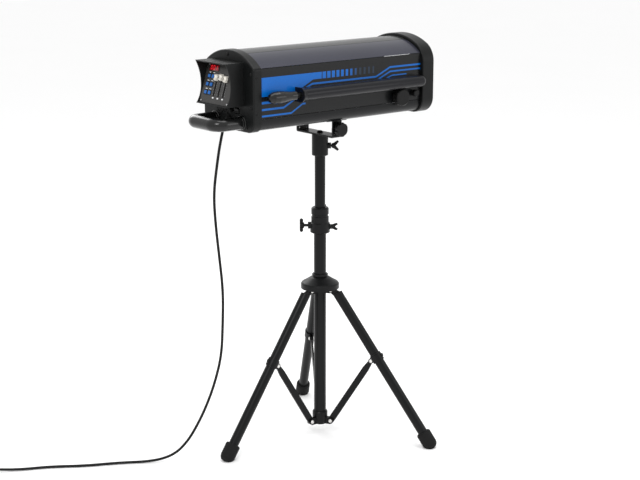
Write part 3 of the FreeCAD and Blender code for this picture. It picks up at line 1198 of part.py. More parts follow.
def handle():
    """Padded U bar at the rear."""
    z = LAMP_Z + HANDLE_Z
    rear = CAP_REAR - HANDLE_REACH
    bend = HANDLE_BEND
    dip = bend * (1 - cos(pi / 4))
    edges = []
    edges.append(Part.LineSegment(vec(CAP_REAR, HANDLE_HALF, z), vec(rear + bend, HANDLE_HALF, z)))
    edges.append(Part.Arc(vec(rear + bend, HANDLE_HALF, z), vec(rear + dip, HANDLE_HALF - dip, z),
                          vec(rear, HANDLE_HALF - bend, z)))
    edges.append(Part.LineSegment(vec(rear, HANDLE_HALF - bend, z), vec(rear, bend - HANDLE_HALF, z)))
    edges.append(Part.Arc(vec(rear, bend - HANDLE_HALF, z), vec(rear + dip, dip - HANDLE_HALF, z),
                          vec(rear + bend, -HANDLE_HALF, z)))
    edges.append(Part.LineSegment(vec(rear + bend, -HANDLE_HALF, z), vec(CAP_REAR, -HANDLE_HALF, z)))
    path = Part.Wire([edge.toShape() for edge in edges])
    circle = Part.Wire([Part.Circle(vec(CAP_REAR, HANDLE_HALF, z), vec(-1, 0, 0), HANDLE_R).toShape()])
    tube = path.makePipeShell([circle], True, False)
    studs = []
    for side in (-1, 1):
        studs.append(bar(4.0, 16.0, (CAP_REAR - 4.0, side * HANDLE_HALF, z), (1, 0, 0)))
    return fuse([tube] + studs)


def rear_connectors():
    """Two signal sockets and the fuse holder under the control box."""
    pieces = []
    for y in CONNECTOR_Y:
        z = LAMP_Z + CONNECTOR_Z
        flange = bar(13.5, 2.5, (CAP_REAR - 2.5, y, z), (1, 0, 0))
        barrel = bar(11.5, 14.0, (CAP_REAR, y, z), (1, 0, 0))
        socket = flange.fuse(barrel).cut(ring(9.5, 7.0, 2.0, (CAP_REAR - 2.5, y, z), (1, 0, 0)))
        for step in range(3):
            angle = pi / 2 + 2 * pi * step / 3
            pin = bar(1.1, 9.0, (CAP_REAR - 2.5, y + 2.4 * cos(angle), z + 2.4 * sin(angle)), (1, 0, 0))
            socket = socket.cut(pin)
        pieces.append(socket)
    fuse_cap = turned([(0, 0), (7.0, 0), (7.0, 6.0), (5.5, 10.0), (0, 10.0)],
                      (CAP_REAR, FUSE_Y, LAMP_Z + CONNECTOR_Z), (-1, 0, 0))
    pieces.append(fuse_cap)
    return Part.makeCompound(pieces)


def power_switch():
    """Rocker that tips about a lateral pin."""
    z = LAMP_Z + CONNECTOR_Z
    face = CAP_REAR
    outline = [(face - 4.5, SWITCH_Y, z + 6.2), (face - 1.6, SWITCH_Y, z), (face - 1.2, SWITCH_Y, z - 6.2),
               (face + 4.0, SWITCH_Y, z - 5.0), (face + 7.0, SWITCH_Y, z), (face + 4.0, SWITCH_Y, z + 5.0)]
    rocker = prism([(x, SWITCH_Y - SWITCH_HALF, zz) for x, _, zz in outline], (0, 2 * SWITCH_HALF, 0))
    pin_half = SWITCH_HALF + 0.9
    pin = bar(1.2, 2 * pin_half, (CAP_REAR + 3.0, SWITCH_Y - pin_half, z), (0, 1, 0))
    return rocker.fuse(pin)


# ---------------------------------------------------------------------- cord
def strain_relief():
    """Tapered sleeve that leads the cord down out of the rear cap."""
    start = vec(CAP_REAR, RELIEF_Y, LAMP_Z + RELIEF_Z)
    exit_point = vec(*CORD_ROUTE[0])
    direction = exit_point - start
    length = direction.Length
    bore = CORD_R
    profile = [(bore, 0), (9.0, 0), (9.0, 4.0), (7.6, 5.0), (5.4, length), (bore, length)]
    sleeve = turned(profile, tuple(start), tuple(direction))
    collar = bar(10.5, 3.0, (CAP_REAR - 3.0, RELIEF_Y, LAMP_Z + RELIEF_Z), (1, 0, 0))
    plug = bar(CORD_R + RELIEF_WALL - FIT, 12.0, (CAP_REAR - 1.0, RELIEF_Y, LAMP_Z + RELIEF_Z), (1, 0, 0))
    sleeve = fuse([sleeve, collar, plug])
    behind = block(CAP_REAR, BODY_REAR + 20.0, -40.0, 40.0, LAMP_Z - 130.0, LAMP_Z)
    sleeve = sleeve.cut(behind.cut(plug))
    channel = bar(bore, length + 10.0, tuple(start - direction.normalize() * 5.0), tuple(exit_point - start))
    return sleeve.cut(channel)


def cord_path(points):
    """Wire of straight runs joined by tangent arcs; returns it with its radii."""
    nodes = [vec(*p) for p in points]
    edges = []
    radii = []
    last = nodes[0]
    for before, corner, after in zip(nodes, nodes[1:], nodes[2:]):
        u = corner - before
        v = after - corner
        run = min(u.Length, v.Length)
        turn = u.getAngle(v)
        u.normalize()
        v.normalize()
        radius = 0.45 * run / tan(turn / 2)
        start = corner - u * (0.45 * run)
        end = corner + v * (0.45 * run)
        bisector = v - u
        bisector.normalize()
        centre = corner + bisector * (radius / cos(turn / 2))
        middle = centre - bisector * radius
        edges.append(Part.LineSegment(last, start).toShape())
        edges.append(Part.Arc(start, middle, end).toShape())
        radii.append(radius)
        last = end
    edges.append(Part.LineSegment(last, nodes[-1]).toShape())
    return Part.Wire(edges), radii


def power_cord():
    path, radii = cord_path(CORD_ROUTE)
    print("cord radii in mm:", [round(radius) for radius in radii])
    runs = [(vec(*b) - vec(*a)).Length for a, b in zip(CORD_ROUTE, CORD_ROUTE[1:])]
    print("cord runs in mm:", [round(run) for run in runs], "length", round(path.Length))
    first = vec(*CORD_ROUTE[1]) - vec(*CORD_ROUTE[0])
    circle = Part.Wire([Part.Circle(vec(*CORD_ROUTE[0]), first, CORD_R).toShape()])
    tube = path.makePipeShell([circle], True, False)
    print("cord volume ratio:", round(tube.Volume / (pi * CORD_R ** 2 * path.Length), 4))
    return tube


def mains_plug():
    """Moulded plug on the end of the cord, with two round pins."""
    end = vec(*CORD_ROUTE[-1])
    direction = end - vec(*CORD_ROUTE[-2])
    direction.z = 0
    direction.normalize()
    yaw = degrees(direction.getAngle(vec(1, 0, 0)))
    profile = [(0, 0), (6.0, 0), (7.5, 10.0), (10.5, 16.0), (13.0, 22.0), (13.0, PLUG_LENGTH),
               (0, PLUG_LENGTH)]
    body = turned(profile, (0, 0, 0), (1, 0, 0))
    pins = [bar(2.4, 19.0, (PLUG_LENGTH - 1.0, side * 9.5, 0), (1, 0, 0)) for side in (-1, 1)]
    plug = fuse([body] + pins)
    plug.rotate(vec(0, 0, 0), vec(0, 0, 1), yaw)
    plug.translate(end)
    return plug


def build_controls():
    export("control_box", control_box())
    export("control_panel", control_panel())
    number = 0
    for z in BUTTON_ROWS:
        for y in BUTTON_COLUMNS:
            number += 1
            export("button_%d" % number, button(y, z))
    for number, (y, position) in enumerate(zip(FADER_COLUMNS, FADER_POSITIONS), 1):
        export("fader_knob_%d" % number, fader_knob(y, position))
    export("handle", handle())
    export("rear_connectors", rear_connectors())
    export("power_switch", power_switch())
    export("strain_relief", strain_relief())
    export("power_cord", power_cord())
    export("mains_plug", mains_plug())


os.makedirs("parts", exist_ok=True)
build_stand()
build_yoke()
build_casing()
build_internals()
build_controls()
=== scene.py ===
"""Follow spot on a folding tripod stand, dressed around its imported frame.

Metres, in the frame's own axes: +Z up, the beam leaves along +X, the focus rail is at -Y.
"""

import logging
import math
from abc import ABC, abstractmethod
from dataclasses import dataclass
from enum import Enum
from typing import Dict, List, Optional, Sequence, Tuple, Union

import bmesh
import bpy
from mathutils import Matrix, Vector


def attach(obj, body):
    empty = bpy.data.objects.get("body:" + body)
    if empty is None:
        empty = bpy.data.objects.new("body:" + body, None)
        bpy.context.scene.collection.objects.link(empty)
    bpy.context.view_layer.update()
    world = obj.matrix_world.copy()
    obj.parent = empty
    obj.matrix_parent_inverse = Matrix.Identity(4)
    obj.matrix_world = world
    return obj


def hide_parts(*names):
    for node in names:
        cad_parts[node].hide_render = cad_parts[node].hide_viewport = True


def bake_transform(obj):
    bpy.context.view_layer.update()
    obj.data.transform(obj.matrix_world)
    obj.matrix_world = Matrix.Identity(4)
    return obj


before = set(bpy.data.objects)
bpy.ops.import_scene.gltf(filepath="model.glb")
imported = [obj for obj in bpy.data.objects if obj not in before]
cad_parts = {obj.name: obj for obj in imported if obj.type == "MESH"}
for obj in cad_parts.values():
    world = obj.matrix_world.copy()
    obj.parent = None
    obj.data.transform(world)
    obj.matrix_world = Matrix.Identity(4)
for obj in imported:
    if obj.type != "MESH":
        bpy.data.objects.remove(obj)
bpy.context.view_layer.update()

LOG = logging.getLogger("follow_spot")
MM = 0.001
LAMP_AXIS_Z = 1.055

Number = Union[int, float]
Point = Tuple[float, float, float]
Colour = Tuple[float, float, float]


class Axis(Enum):
    """Direction that a brushed or drawn surface runs in."""

    X = (0.02, 1.0, 1.0)
    Y = (1.0, 0.02, 1.0)
    Z = (1.0, 1.0, 0.02)


class Signal:
    """A node's output socket that takes part in Python expressions."""

    def __init__(self, graph: "Graph", socket: bpy.types.NodeSocket) -> None:
        """Keeps the graph and the socket.

        Args:
            graph: Graph that owns the socket's node.
            socket: Output socket that carries the value.
        """
        self.graph = graph
        self.socket = socket

    def _math(self, operation: str, first: "Value", second: "Value") -> "Signal":
        """Adds one Math node.

        Args:
            operation: Math node's operation.
            first: Value of its first socket.
            second: Value of its second socket.

        Returns:
            The node's output.
        """
        return self.graph.node("ShaderNodeMath", {"operation": operation}, {0: first, 1: second})

    def __add__(self, other: "Value") -> "Signal":
        """Sum with another value."""
        return self._math("ADD", self, other)

    __radd__ = __add__

    def __sub__(self, other: "Value") -> "Signal":
        """This value less another."""
        return self._math("SUBTRACT", self, other)

    def __rsub__(self, other: "Value") -> "Signal":
        """Another value less this one."""
        return self._math("SUBTRACT", other, self)

    def __mul__(self, other: "Value") -> "Signal":
        """Product with another value."""
        return self._math("MULTIPLY", self, other)

    __rmul__ = __mul__

    def __truediv__(self, other: "Value") -> "Signal":
        """This value over another."""
        return self._math("DIVIDE", self, other)

    def __and__(self, other: "Value") -> "Signal":
        """Smaller of two masks."""
        return self._math("MINIMUM", self, other)

    def __or__(self, other: "Value") -> "Signal":
        """Larger of two masks."""
        return self._math("MAXIMUM", self, other)

    def __abs__(self) -> "Signal":
        """Size of the value without its sign."""
        return self._math("ABSOLUTE", self, 0.0)

    def fraction(self) -> "Signal":
        """Part of the value after the decimal point."""
        return self._math("FRACT", self, 0.0)

    def clamped(self) -> "Signal":
        """The value held between 0 and 1."""
        return self.graph.node("ShaderNodeClamp", {}, {"Value": self, "Min": 0.0, "Max": 1.0})

    def above(self, edge: "Value", soft: float = 0.0003) -> "Signal":
        """Mask of where the value is over an edge.

        Args:
            edge: Value at the middle of the step.
            soft: Width of the step.

        Returns:
            A mask from 0 to 1.
        """
        return ((self - edge) / soft + 0.5).clamped()

    def below(self, edge: "Value", soft: float = 0.0003) -> "Signal":
        """Mask of where the value is under an edge.

        Args:
            edge: Value at the middle of the step.
            soft: Width of the step.

        Returns:
            A mask from 0 to 1.
        """
        return ((edge - self) / soft + 0.5).clamped()


Value = Union[Signal, Number, Sequence[float]]


class Graph:
    """Node tree of one material, with its Principled shader ready."""

    def __init__(self, name: str) -> None:
        """Starts a material with an empty tree.

        Args:
            name: Material's name.
        """
        self.material = bpy.data.materials.new(name)
        self.material.use_nodes = True
        self.tree = self.material.node_tree
        self.tree.nodes.clear()
        self.shader = self.tree.nodes.new("ShaderNodeBsdfPrincipled")
        output = self.tree.nodes.new("ShaderNodeOutputMaterial")
        self.tree.links.new(self.shader.outputs[0], output.inputs[0])
        self.position = self.node("ShaderNodeTexCoord", {}, {}, "Object")
        self.set(Specular_IOR_Level=0.16)

    def feed(self, node: bpy.types.Node, key: Union[int, str], value: Value) -> None:
        """Sets a socket to a value or links it.

        Args:
            node: Node that has the socket.
            key: Socket's index or name.
            value: Number, vector, colour or signal.
        """
        if isinstance(value, Signal):
            self.tree.links.new(value.socket, node.inputs[key])
        else:
            node.inputs[key].default_value = value

    def node(self, kind: str, settings: Dict[str, object], sockets: Dict[Union[int, str], Value],
             out: Union[int, str] = 0) -> Signal:
        """Adds a node of any kind.

        Args:
            kind: Node's type name.
            settings: Its properties; "stops" holds a ramp's positions and colours.
            sockets: Values or links of its input sockets.
            out: Index or name of the output wanted.

        Returns:
            That output.
        """
        node = self.tree.nodes.new(kind)
        for name, value in settings.items():
            if name == "stops":
                ramp = node.color_ramp.elements
                while len(ramp) < len(value):
                    ramp.new(0.5)
                for stop, (place, colour) in zip(ramp, value):
                    stop.position = place
                    stop.color = colour
            else:
                setattr(node, name, value)
        for key, value in sockets.items():
            self.feed(node, key, value)
        return Signal(self, node.outputs[out])

    def set(self, **sockets: Value) -> None:
        """Feeds the shader's sockets; an underscore in a name stands for a space."""
        for name, value in sockets.items():
            self.feed(self.shader, name.replace("_", " "), value)

    def axes(self) -> Tuple[Signal, Signal, Signal]:
        """The three object coordinates as separate values."""
        split = self.tree.nodes.new("ShaderNodeSeparateXYZ")
        self.tree.links.new(self.position.socket, split.inputs[0])
        return tuple(Signal(self, split.outputs[index]) for index in range(3))

    def noise(self, scale: float, detail: float = 3.0, stretch: Optional[Axis] = None) -> Signal:
        """Noise over the object's coordinates.

        Args:
            scale: Waves in a metre.
            detail: Octaves of finer noise.
            stretch: Direction that the noise is drawn out in.

        Returns:
            Noise from 0 to 1.
        """
        where = self.position
        if stretch is not None:
            where = self.node("ShaderNodeMapping", {}, {"Vector": where, "Scale": stretch.value})
        return self.node("ShaderNodeTexNoise", {}, {"Vector": where, "Scale": scale, "Detail": detail})

    def mix(self, mask: Value, under: Value, over: Value) -> Signal:
        """Mixes two colours.

        Args:
            mask: Share of the second colour.
            under: Colour where the mask is 0.
            over: Colour where the mask is 1.

        Returns:
            The mixed colour.
        """
        return self.node("ShaderNodeMix", {"data_type": "RGBA"}, {0: mask, 6: under, 7: over}, 2)

    def bump(self, height: Value, depth: float, strength: float = 1.0, rounding: float = 0.0) -> None:
        """Raises the surface by a height and feeds the shader's normal.

        Args:
            height: Height from 0 to 1.
            depth: Metres that a height of 1 stands for.
            strength: Share of the effect.
            rounding: Radius in metres that sharp edges seem to have.
        """
        sockets = {"Strength": strength, "Distance": depth, "Height": height}
        if rounding > 0.0:
            sockets["Normal"] = self.node("ShaderNodeBevel", {"samples": 4}, {"Radius": rounding})
        self.set(Normal=self.node("ShaderNodeBump", {}, sockets))

    def worn_edges(self, width: float) -> Signal:
        """Mask of the outer edges, broken up by noise.

        Args:
            width: Width of the worn band in metres.

        Returns:
            A mask from 0 to 1.
        """
        rounded = self.node("ShaderNodeBevel", {"samples": 4}, {"Radius": width})
        plain = self.node("ShaderNodeNewGeometry", {}, {}, "Normal")
        turn = self.node("ShaderNodeVectorMath", {"operation": "DOT_PRODUCT"}, {0: rounded, 1: plain},
                         "Value")
        return (1.0 - turn).above(0.09, 0.14) * self.noise(140.0, 4.0).above(0.5, 0.25)


def rgba(colour: Colour) -> Tuple[float, float, float, float]:
    """Colour with full alpha."""
    return (*colour, 1.0)


def scaled(colour: Colour, factor: float) -> Tuple[float, float, float, float]:
    """Colour made lighter or darker, with full alpha."""
    return tuple(min(1.0, channel * factor) for channel in colour) + (1.0,)


@dataclass(frozen=True)
class Finish(ABC):
    """A surface finish that makes its own material once."""

    name: str
    colour: Colour

    @abstractmethod
    def paint(self, graph: Graph) -> None:
        """Builds the finish's nodes.

        Args:
            graph: Graph of the new material.
        """

    def material(self) -> bpy.types.Material:
        """The finish's material, made at its first use."""
        label = f"{self.name}_finish"
        found = bpy.data.materials.get(label)
        if found is None:
            graph = Graph(label)
            self.paint(graph)
            found = graph.material
        return found


@dataclass(frozen=True)
class Enamel(Finish):
    """Powder coat or lacquer on metal, with a fine grain and rubbed edges."""

    roughness: float = 0.42
    grain: float = 1400.0
    depth: float = 0.00006
    wear: float = 0.5
    coat: float = 0.0
    bare: Colour = (0.16, 0.16, 0.165)

    def paint(self, graph: Graph) -> None:
        """Builds the finish's nodes."""
        cloud = graph.noise(9.0, 4.0)
        grain = graph.noise(self.grain, 2.0)
        specks = graph.noise(420.0, 2.0).above(0.72, 0.06)
        worn = graph.worn_edges(0.0009) * self.wear
        tone = graph.mix(cloud, scaled(self.colour, 0.75), scaled(self.colour, 1.35))
        tone = graph.mix(specks * 0.12, tone, scaled(self.colour, 4.0))
        graph.set(Base_Color=graph.mix(worn, tone, rgba(self.bare)),
                  Roughness=self.roughness - 0.05 + cloud * 0.08 + grain * 0.05 - worn * 0.1,
                  Metallic=worn * 0.8,
                  Coat_Weight=self.coat,
                  Coat_Roughness=0.09)
        graph.bump(grain, self.depth, 0.6, 0.0006)


@dataclass(frozen=True)
class Lacquer(Finish):
    """Gloss lacquer on the rolled cover, with faint lengthwise drawing lines."""

    roughness: float = 0.3

    def paint(self, graph: Graph) -> None:
        """Builds the finish's nodes."""
        drawn = graph.noise(260.0, 3.0, Axis.X)
        cloud = graph.noise(5.0, 3.0)
        tone = graph.mix(cloud, scaled(self.colour, 0.8), scaled(self.colour, 1.25))
        graph.set(Base_Color=graph.mix(drawn * 0.3, tone, scaled(self.colour, 0.55)),
                  Roughness=self.roughness + drawn * 0.08 + cloud * 0.04,
                  Metallic=0.35,
                  Coat_Weight=0.35,
                  Coat_Roughness=0.12,
                  Coat_IOR=1.35)
        graph.bump(drawn + graph.noise(1100.0, 1.0) * 0.3, 0.00004, 0.5, 0.0005)


@dataclass(frozen=True)
class Brushed(Finish):
    """Bare or plated metal with brushing lines."""

    roughness: float = 0.3
    axis: Axis = Axis.X

    def paint(self, graph: Graph) -> None:
        """Builds the finish's nodes."""
        lines = graph.noise(900.0, 4.0, self.axis)
        stain = graph.noise(45.0, 4.0)
        graph.set(Base_Color=graph.mix(stain, scaled(self.colour, 0.8), scaled(self.colour, 1.1)),
                  Roughness=self.roughness + lines * 0.14 + stain * 0.08,
                  Metallic=1.0)
        graph.bump(lines, 0.00003, 0.5, 0.0003)


@dataclass(frozen=True)
class Moulded(Finish):
    """Moulded plastic or rubber with a spark-eroded grain."""

    roughness: float = 0.5
    grain: float = 1600.0
    depth: float = 0.00008
    spread: float = 0.25
    coat: float = 0.0

    def paint(self, graph: Graph) -> None:
        """Builds the finish's nodes."""
        grain = graph.noise(self.grain, 2.0)
        cloud = graph.noise(24.0, 4.0)
        tone = graph.mix(cloud, scaled(self.colour, 1.0 - self.spread),
                         scaled(self.colour, 1.0 + self.spread))
        graph.set(Base_Color=graph.mix(grain * 0.2, tone, scaled(self.colour, 0.7)),
                  Roughness=self.roughness - 0.06 + cloud * 0.1 + grain * 0.06,
                  Coat_Weight=self.coat,
                  Coat_Roughness=0.15)
        graph.bump(grain, self.depth, 0.7, 0.0004)


@dataclass(frozen=True)
class Glass(Finish):
    """Ground and polished lens glass with a faint bloom."""

    def paint(self, graph: Graph) -> None:
        """Builds the finish's nodes."""
        bloom = graph.noise(30.0, 4.0)
        graph.set(Base_Color=graph.mix(bloom, scaled(self.colour, 0.96), rgba(self.colour)),
                  Roughness=bloom.above(0.55, 0.5) * 0.05 + 0.01,
                  Transmission_Weight=1.0,
                  IOR=1.5,
                  Coat_Weight=0.3)
        graph.bump(graph.noise(12.0, 1.0), 0.00002, 0.3)


@dataclass(frozen=True)
class Lit(Finish):
    """A lit indicator or the lamp's phosphor."""

    strength: float = 2.0

    def paint(self, graph: Graph) -> None:
        """Builds the finish's nodes."""
        flicker = graph.noise(700.0, 2.0)
        glow = graph.mix(flicker, scaled(self.colour, 0.8), rgba(self.colour))
        graph.set(Base_Color=glow, Emission_Color=glow, Emission_Strength=self.strength, Roughness=0.4)


@dataclass(frozen=True)
class Print:
    """One printed line: its run, its step up and its thickness, in millimetres from the lamp's axis."""

    start: float
    end: float
    low: float
    high: float
    turn: float
    turned: float
    thickness: float

    def mask(self, x: Signal, z: Signal) -> Signal:
        """Mask of the line on the side panel.

        Args:
            x: Place along the beam in millimetres.
            z: Height above the axis in millimetres.

        Returns:
            A mask from 0 to 1.
        """
        rise = ((x - self.turn) / (self.turned - self.turn)).clamped() * (self.high - self.low) + self.low
        return (abs(z - rise).below(self.thickness / 2.0, 0.5)
                & x.above(self.start, 0.6) & x.below(self.end, 0.6))


@dataclass(frozen=True)
class PrintedPanel(Finish):
    """Satin black side panel with blue printed bands and a row of fading bars."""

    blue: Colour = (0.0, 0.105, 0.42)
    grey: Colour = (0.012, 0.022, 0.034)
    lines: Tuple[Print, ...] = (
        Print(-170.0, 290.0, -1.5, 21.0, 111.0, 163.0, 5.0),
        Print(118.0, 290.0, -10.0, 9.0, 118.0, 164.0, 4.4),
        Print(150.0, 226.0, -9.0, -2.5, 150.0, 171.0, 3.6),
        Print(-291.0, -205.0, -38.0, -20.0, -240.0, -205.0, 6.4),
        Print(-291.0, -178.0, -56.0, -38.0, -214.0, -178.0, 5.4),
        Print(-291.0, -140.0, -73.0, -52.0, -189.0, -150.0, 4.6),
    )

    def band(self, x: Signal, z: Signal) -> Signal:
        """Mask of the wide band, cut away below along a slope."""
        floor = ((x + 178.0) / 64.0).clamped() * 32.0 - 22.0
        return z.below(28.0, 0.5) & z.above(floor, 0.5) & x.above(-291.0, 0.6) & x.below(-84.0, 0.6)

    def bars(self, x: Signal, z: Signal) -> Signal:
        """Mask of the bars that grow thinner towards the front."""
        place = (x + 83.0) / 16.0
        half = 0.40 - place * 0.023
        inside = z.below(28.0, 0.5) & z.above(10.0, 0.5) & x.above(-83.0, 0.6) & x.below(111.0, 0.6)
        return abs(place.fraction() - 0.5).below(half, 0.04) & inside

    def steps(self, x: Signal, z: Signal) -> Signal:
        """Mask of the first line's lower run, which starts on a slope under the band."""
        rise = ((x + 157.0) / 40.0).clamped() * 16.0 - 17.5
        return abs(z - rise).below(2.5, 0.5) & x.above(-157.0, 0.6) & x.below(-110.0, 0.6)

    def paint(self, graph: Graph) -> None:
        """Builds the finish's nodes."""
        along, _, up = graph.axes()
        x = along * 1000.0
        z = (up - LAMP_AXIS_Z) * 1000.0
        first = self.lines[0].mask(x, z) & x.above(-118.0, 0.6)
        ink = self.band(x, z) | self.bars(x, z) | first | self.steps(x, z)
        for line in self.lines[1:]:
            ink = ink | line.mask(x, z)
        faded = x.above(30.0, 30.0) & self.bars(x, z)
        cloud = graph.noise(14.0, 4.0)
        grain = graph.noise(1500.0, 2.0)
        tone = graph.mix(cloud, scaled(self.colour, 0.8), scaled(self.colour, 1.3))
        dots = graph.noise(600.0, 1.0)
        print_tone = graph.mix(dots, scaled(self.blue, 0.86), scaled(self.blue, 1.1))
        print_tone = graph.mix(faded, print_tone, rgba(self.grey))
        graph.set(Base_Color=graph.mix(ink, tone, print_tone),
                  Roughness=0.36 + cloud * 0.06 + grain * 0.05 - ink * 0.05,
                  Coat_Weight=0.25,
                  Coat_Roughness=0.12)
        graph.bump(grain * 0.6 + ink * 0.5, 0.00007, 0.6, 0.0004)


class Finishes:
    """Every finish on the follow spot."""

    STAND = Enamel("stand_black", (0.0035, 0.0037, 0.004), roughness=0.3, wear=0.12, bare=(0.05, 0.05, 0.052))
    CASTING = Enamel("stand_casting", (0.004, 0.0042, 0.0045), roughness=0.36, grain=700.0, depth=0.00012,
                     wear=0.12, bare=(0.05, 0.05, 0.052))
    CASE = Enamel("casing_black", (0.0035, 0.0038, 0.0045), roughness=0.3, wear=0.1, coat=0.1,
                  bare=(0.05, 0.05, 0.052))
    CAP = Enamel("casing_cast", (0.0045, 0.005, 0.005), roughness=0.34, grain=900.0, depth=0.0001, wear=0.15,
                 bare=(0.06, 0.06, 0.062))
    RAIL = Lacquer("rail_gloss", (0.005, 0.005, 0.007), roughness=0.34)
    # Shoulder covers: dark lacquer whose colour is painted lighter and purplish. That purplish lightness is a
    # painted reflection, copied from the purple sheen on the shoulders.
    COVER = Lacquer("cover_gloss", (0.03, 0.031, 0.045), roughness=0.27)
    TOP = Lacquer("top_gloss", (0.02, 0.021, 0.022), roughness=0.32)
    SIDE = PrintedPanel("side_print", (0.003, 0.0033, 0.0038))
    BOLT = Moulded("bolt_black", (0.0045, 0.0045, 0.0047), roughness=0.42)
    FOOT = Moulded("foot_rubber", (0.007, 0.007, 0.007), roughness=0.72, grain=700.0, depth=0.00018,
                   spread=0.4)
    GRIP = Moulded("grip_black", (0.004, 0.0042, 0.0042), roughness=0.2, grain=2200.0, depth=0.00003,
                   coat=0.4)
    PLASTIC = Moulded("control_plastic", (0.006, 0.0065, 0.0065), roughness=0.48, grain=1300.0, depth=0.0001)
    PANEL = Moulded("panel_film", (0.03, 0.029, 0.028), roughness=0.34, grain=2600.0, depth=0.00003, coat=0.3)
    BUTTON = Moulded("button_blue", (0.02, 0.12, 0.4), roughness=0.42, grain=2000.0, depth=0.00004)
    # Fader caps painted pale cream all over: the pale colour is a painted highlight, copied from the lit crescents
    # on the knobs' edges.
    FADER = Moulded("fader_cream", (0.74, 0.71, 0.64), roughness=0.42, grain=1500.0, depth=0.00005,
                    spread=0.08)
    CORD = Moulded("cord_black", (0.006, 0.006, 0.006), roughness=0.5, grain=900.0, depth=0.0001)
    INK = Moulded("print_white", (0.7, 0.71, 0.72), roughness=0.5, grain=1500.0, depth=0.00002, spread=0.06)
    WINDOW = Moulded("display_window", (0.17, 0.004, 0.008), roughness=0.12, grain=400.0, depth=0.00001,
                     coat=1.0)
    SCREW = Brushed("screw_zinc", (0.5, 0.5, 0.51), roughness=0.28)
    RIVET = Brushed("rivet_nickel", (0.72, 0.71, 0.69), roughness=0.22, axis=Axis.Y)
    PIN = Brushed("plug_nickel", (0.72, 0.7, 0.66), roughness=0.24, axis=Axis.Y)
    ALUMINIUM = Brushed("inner_aluminium", (0.62, 0.62, 0.63), roughness=0.34)
    LENS = Glass("lens_glass", (0.97, 0.985, 1.0))
    DIGIT = Lit("display_digits", (0.9, 0.02, 0.03), strength=0.9)
    PHOSPHOR = Lit("phosphor", (0.9, 0.72, 0.12), strength=0.15)


class Shape:
    """A bmesh under construction, which ends as a finished piece."""

    def __init__(self) -> None:
        """Starts an empty shape."""
        self.mesh = bmesh.new()

    def box(self, low: Point, high: Point, bevel: float = 0.0, place: Optional[Matrix] = None) -> None:
        """Adds a box with softened edges.

        Args:
            low: Lowest corner.
            high: Highest corner.
            bevel: Radius of its edges.
            place: Turn and place given to it afterwards.
        """
        middle = (Vector(low) + Vector(high)) / 2.0
        size = Vector(high) - Vector(low)
        where = Matrix.Translation(middle) @ Matrix.Diagonal((*size, 1.0))
        made = bmesh.ops.create_cube(self.mesh, size=1.0, matrix=where)["verts"]
        if bevel > 0.0:
            edges = list({edge for vert in made for edge in vert.link_edges})
            made = bmesh.ops.bevel(self.mesh, geom=edges, offset=bevel, offset_type="OFFSET", segments=2,
                                   profile=0.5, affect="EDGES", clamp_overlap=True, material=-1)["verts"]
        if place is not None:
            bmesh.ops.transform(self.mesh, matrix=place, verts=made)

    def turned(self, profile: Sequence[Tuple[float, float]], place: Matrix, steps: int = 32) -> None:
        """Adds a solid of revolution.

        Args:
            profile: Radius and height of each point, from one end of the axis to the other.
            place: Where its own Z axis and foot go.
            steps: Flats round the circle.
        """
        verts = [self.mesh.verts.new((radius, 0.0, height)) for radius, height in profile]
        edges = [self.mesh.edges.new(pair) for pair in zip(verts, verts[1:])]
        known = set(self.mesh.verts) - set(verts)
        bmesh.ops.spin(self.mesh, geom=verts + edges, cent=(0.0, 0.0, 0.0), axis=(0.0, 0.0, 1.0),
                       angle=math.tau, steps=steps, use_merge=True, dvec=(0.0, 0.0, 0.0))
        made = [vert for vert in self.mesh.verts if vert not in known]
        bmesh.ops.remove_doubles(self.mesh, verts=made, dist=1e-7)
        made = [vert for vert in self.mesh.verts if vert not in known]
        bmesh.ops.transform(self.mesh, matrix=place, verts=made)

    def tint_from(self, first_face: int, slot: int) -> None:
        """Gives faces made since a count a material slot.

        Args:
            first_face: Count of faces before them.
            slot: Material slot's index.
        """
        self.mesh.faces.ensure_lookup_table()
        for face in self.mesh.faces[first_face:]:
            face.material_index = slot

    def finish(self, name: str, body: str, finishes: Sequence[Finish], slot: str) -> bpy.types.Object:
        """Turns the shape into a piece on a body.

        Args:
            name: Piece's name.
            body: Frame body that it rides on.
            finishes: Its finishes, one for each material slot.
            slot: Name of a record slot; not used.

        Returns:
            The piece's object, at the origin.
        """
        bmesh.ops.recalc_face_normals(self.mesh, faces=self.mesh.faces)
        data = bpy.data.meshes.new(name)
        self.mesh.to_mesh(data)
        self.mesh.free()
        data.shade_smooth()
        data.set_sharp_from_angle(angle=math.radians(32.0))
        return dress_new(name, data, body, finishes)


def dress_new(name: str, data: bpy.types.Mesh, body: Optional[str], finishes: Sequence[Finish]) -> bpy.types.Object:
    """Makes an object of a mesh, gives it its finishes and puts it on a body.

    Args:
        name: Object's name.
        data: Finished mesh, placed in the CAD frame.
        body: CAD body that carries it, or None for a piece that rides on no body.
        finishes: Finishes in the order of the mesh's material indices.

    Returns:
        The new object.
    """
    piece = bpy.data.objects.new(name, data)
    bpy.context.collection.objects.link(piece)
    for finish in finishes:
        data.materials.append(finish.material())
    if body is not None:
        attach(piece, body)
    LOG.info("%s on %s: %d faces", name, body or "two bodies", len(data.polygons))
    return piece


def facing(direction: Point, foot: Point) -> Matrix:
    """Matrix that lays a shape's own Z axis along a direction, with its foot at a point."""
    turn = Vector((0.0, 0.0, 1.0)).rotation_difference(Vector(direction)).to_matrix().to_4x4()
    return Matrix.Translation(Vector(foot)) @ turn


def about_mast(angle: float) -> Matrix:
    """Turn about the mast's axis, angle in degrees."""
    return Matrix.Rotation(math.radians(angle), 4, "Z")


DOME = ((0.0, 0.0028), (0.0028, 0.0026), (0.0046, 0.0019), (0.0057, 0.0006), (0.0058, 0.0), (0.0, 0.0))


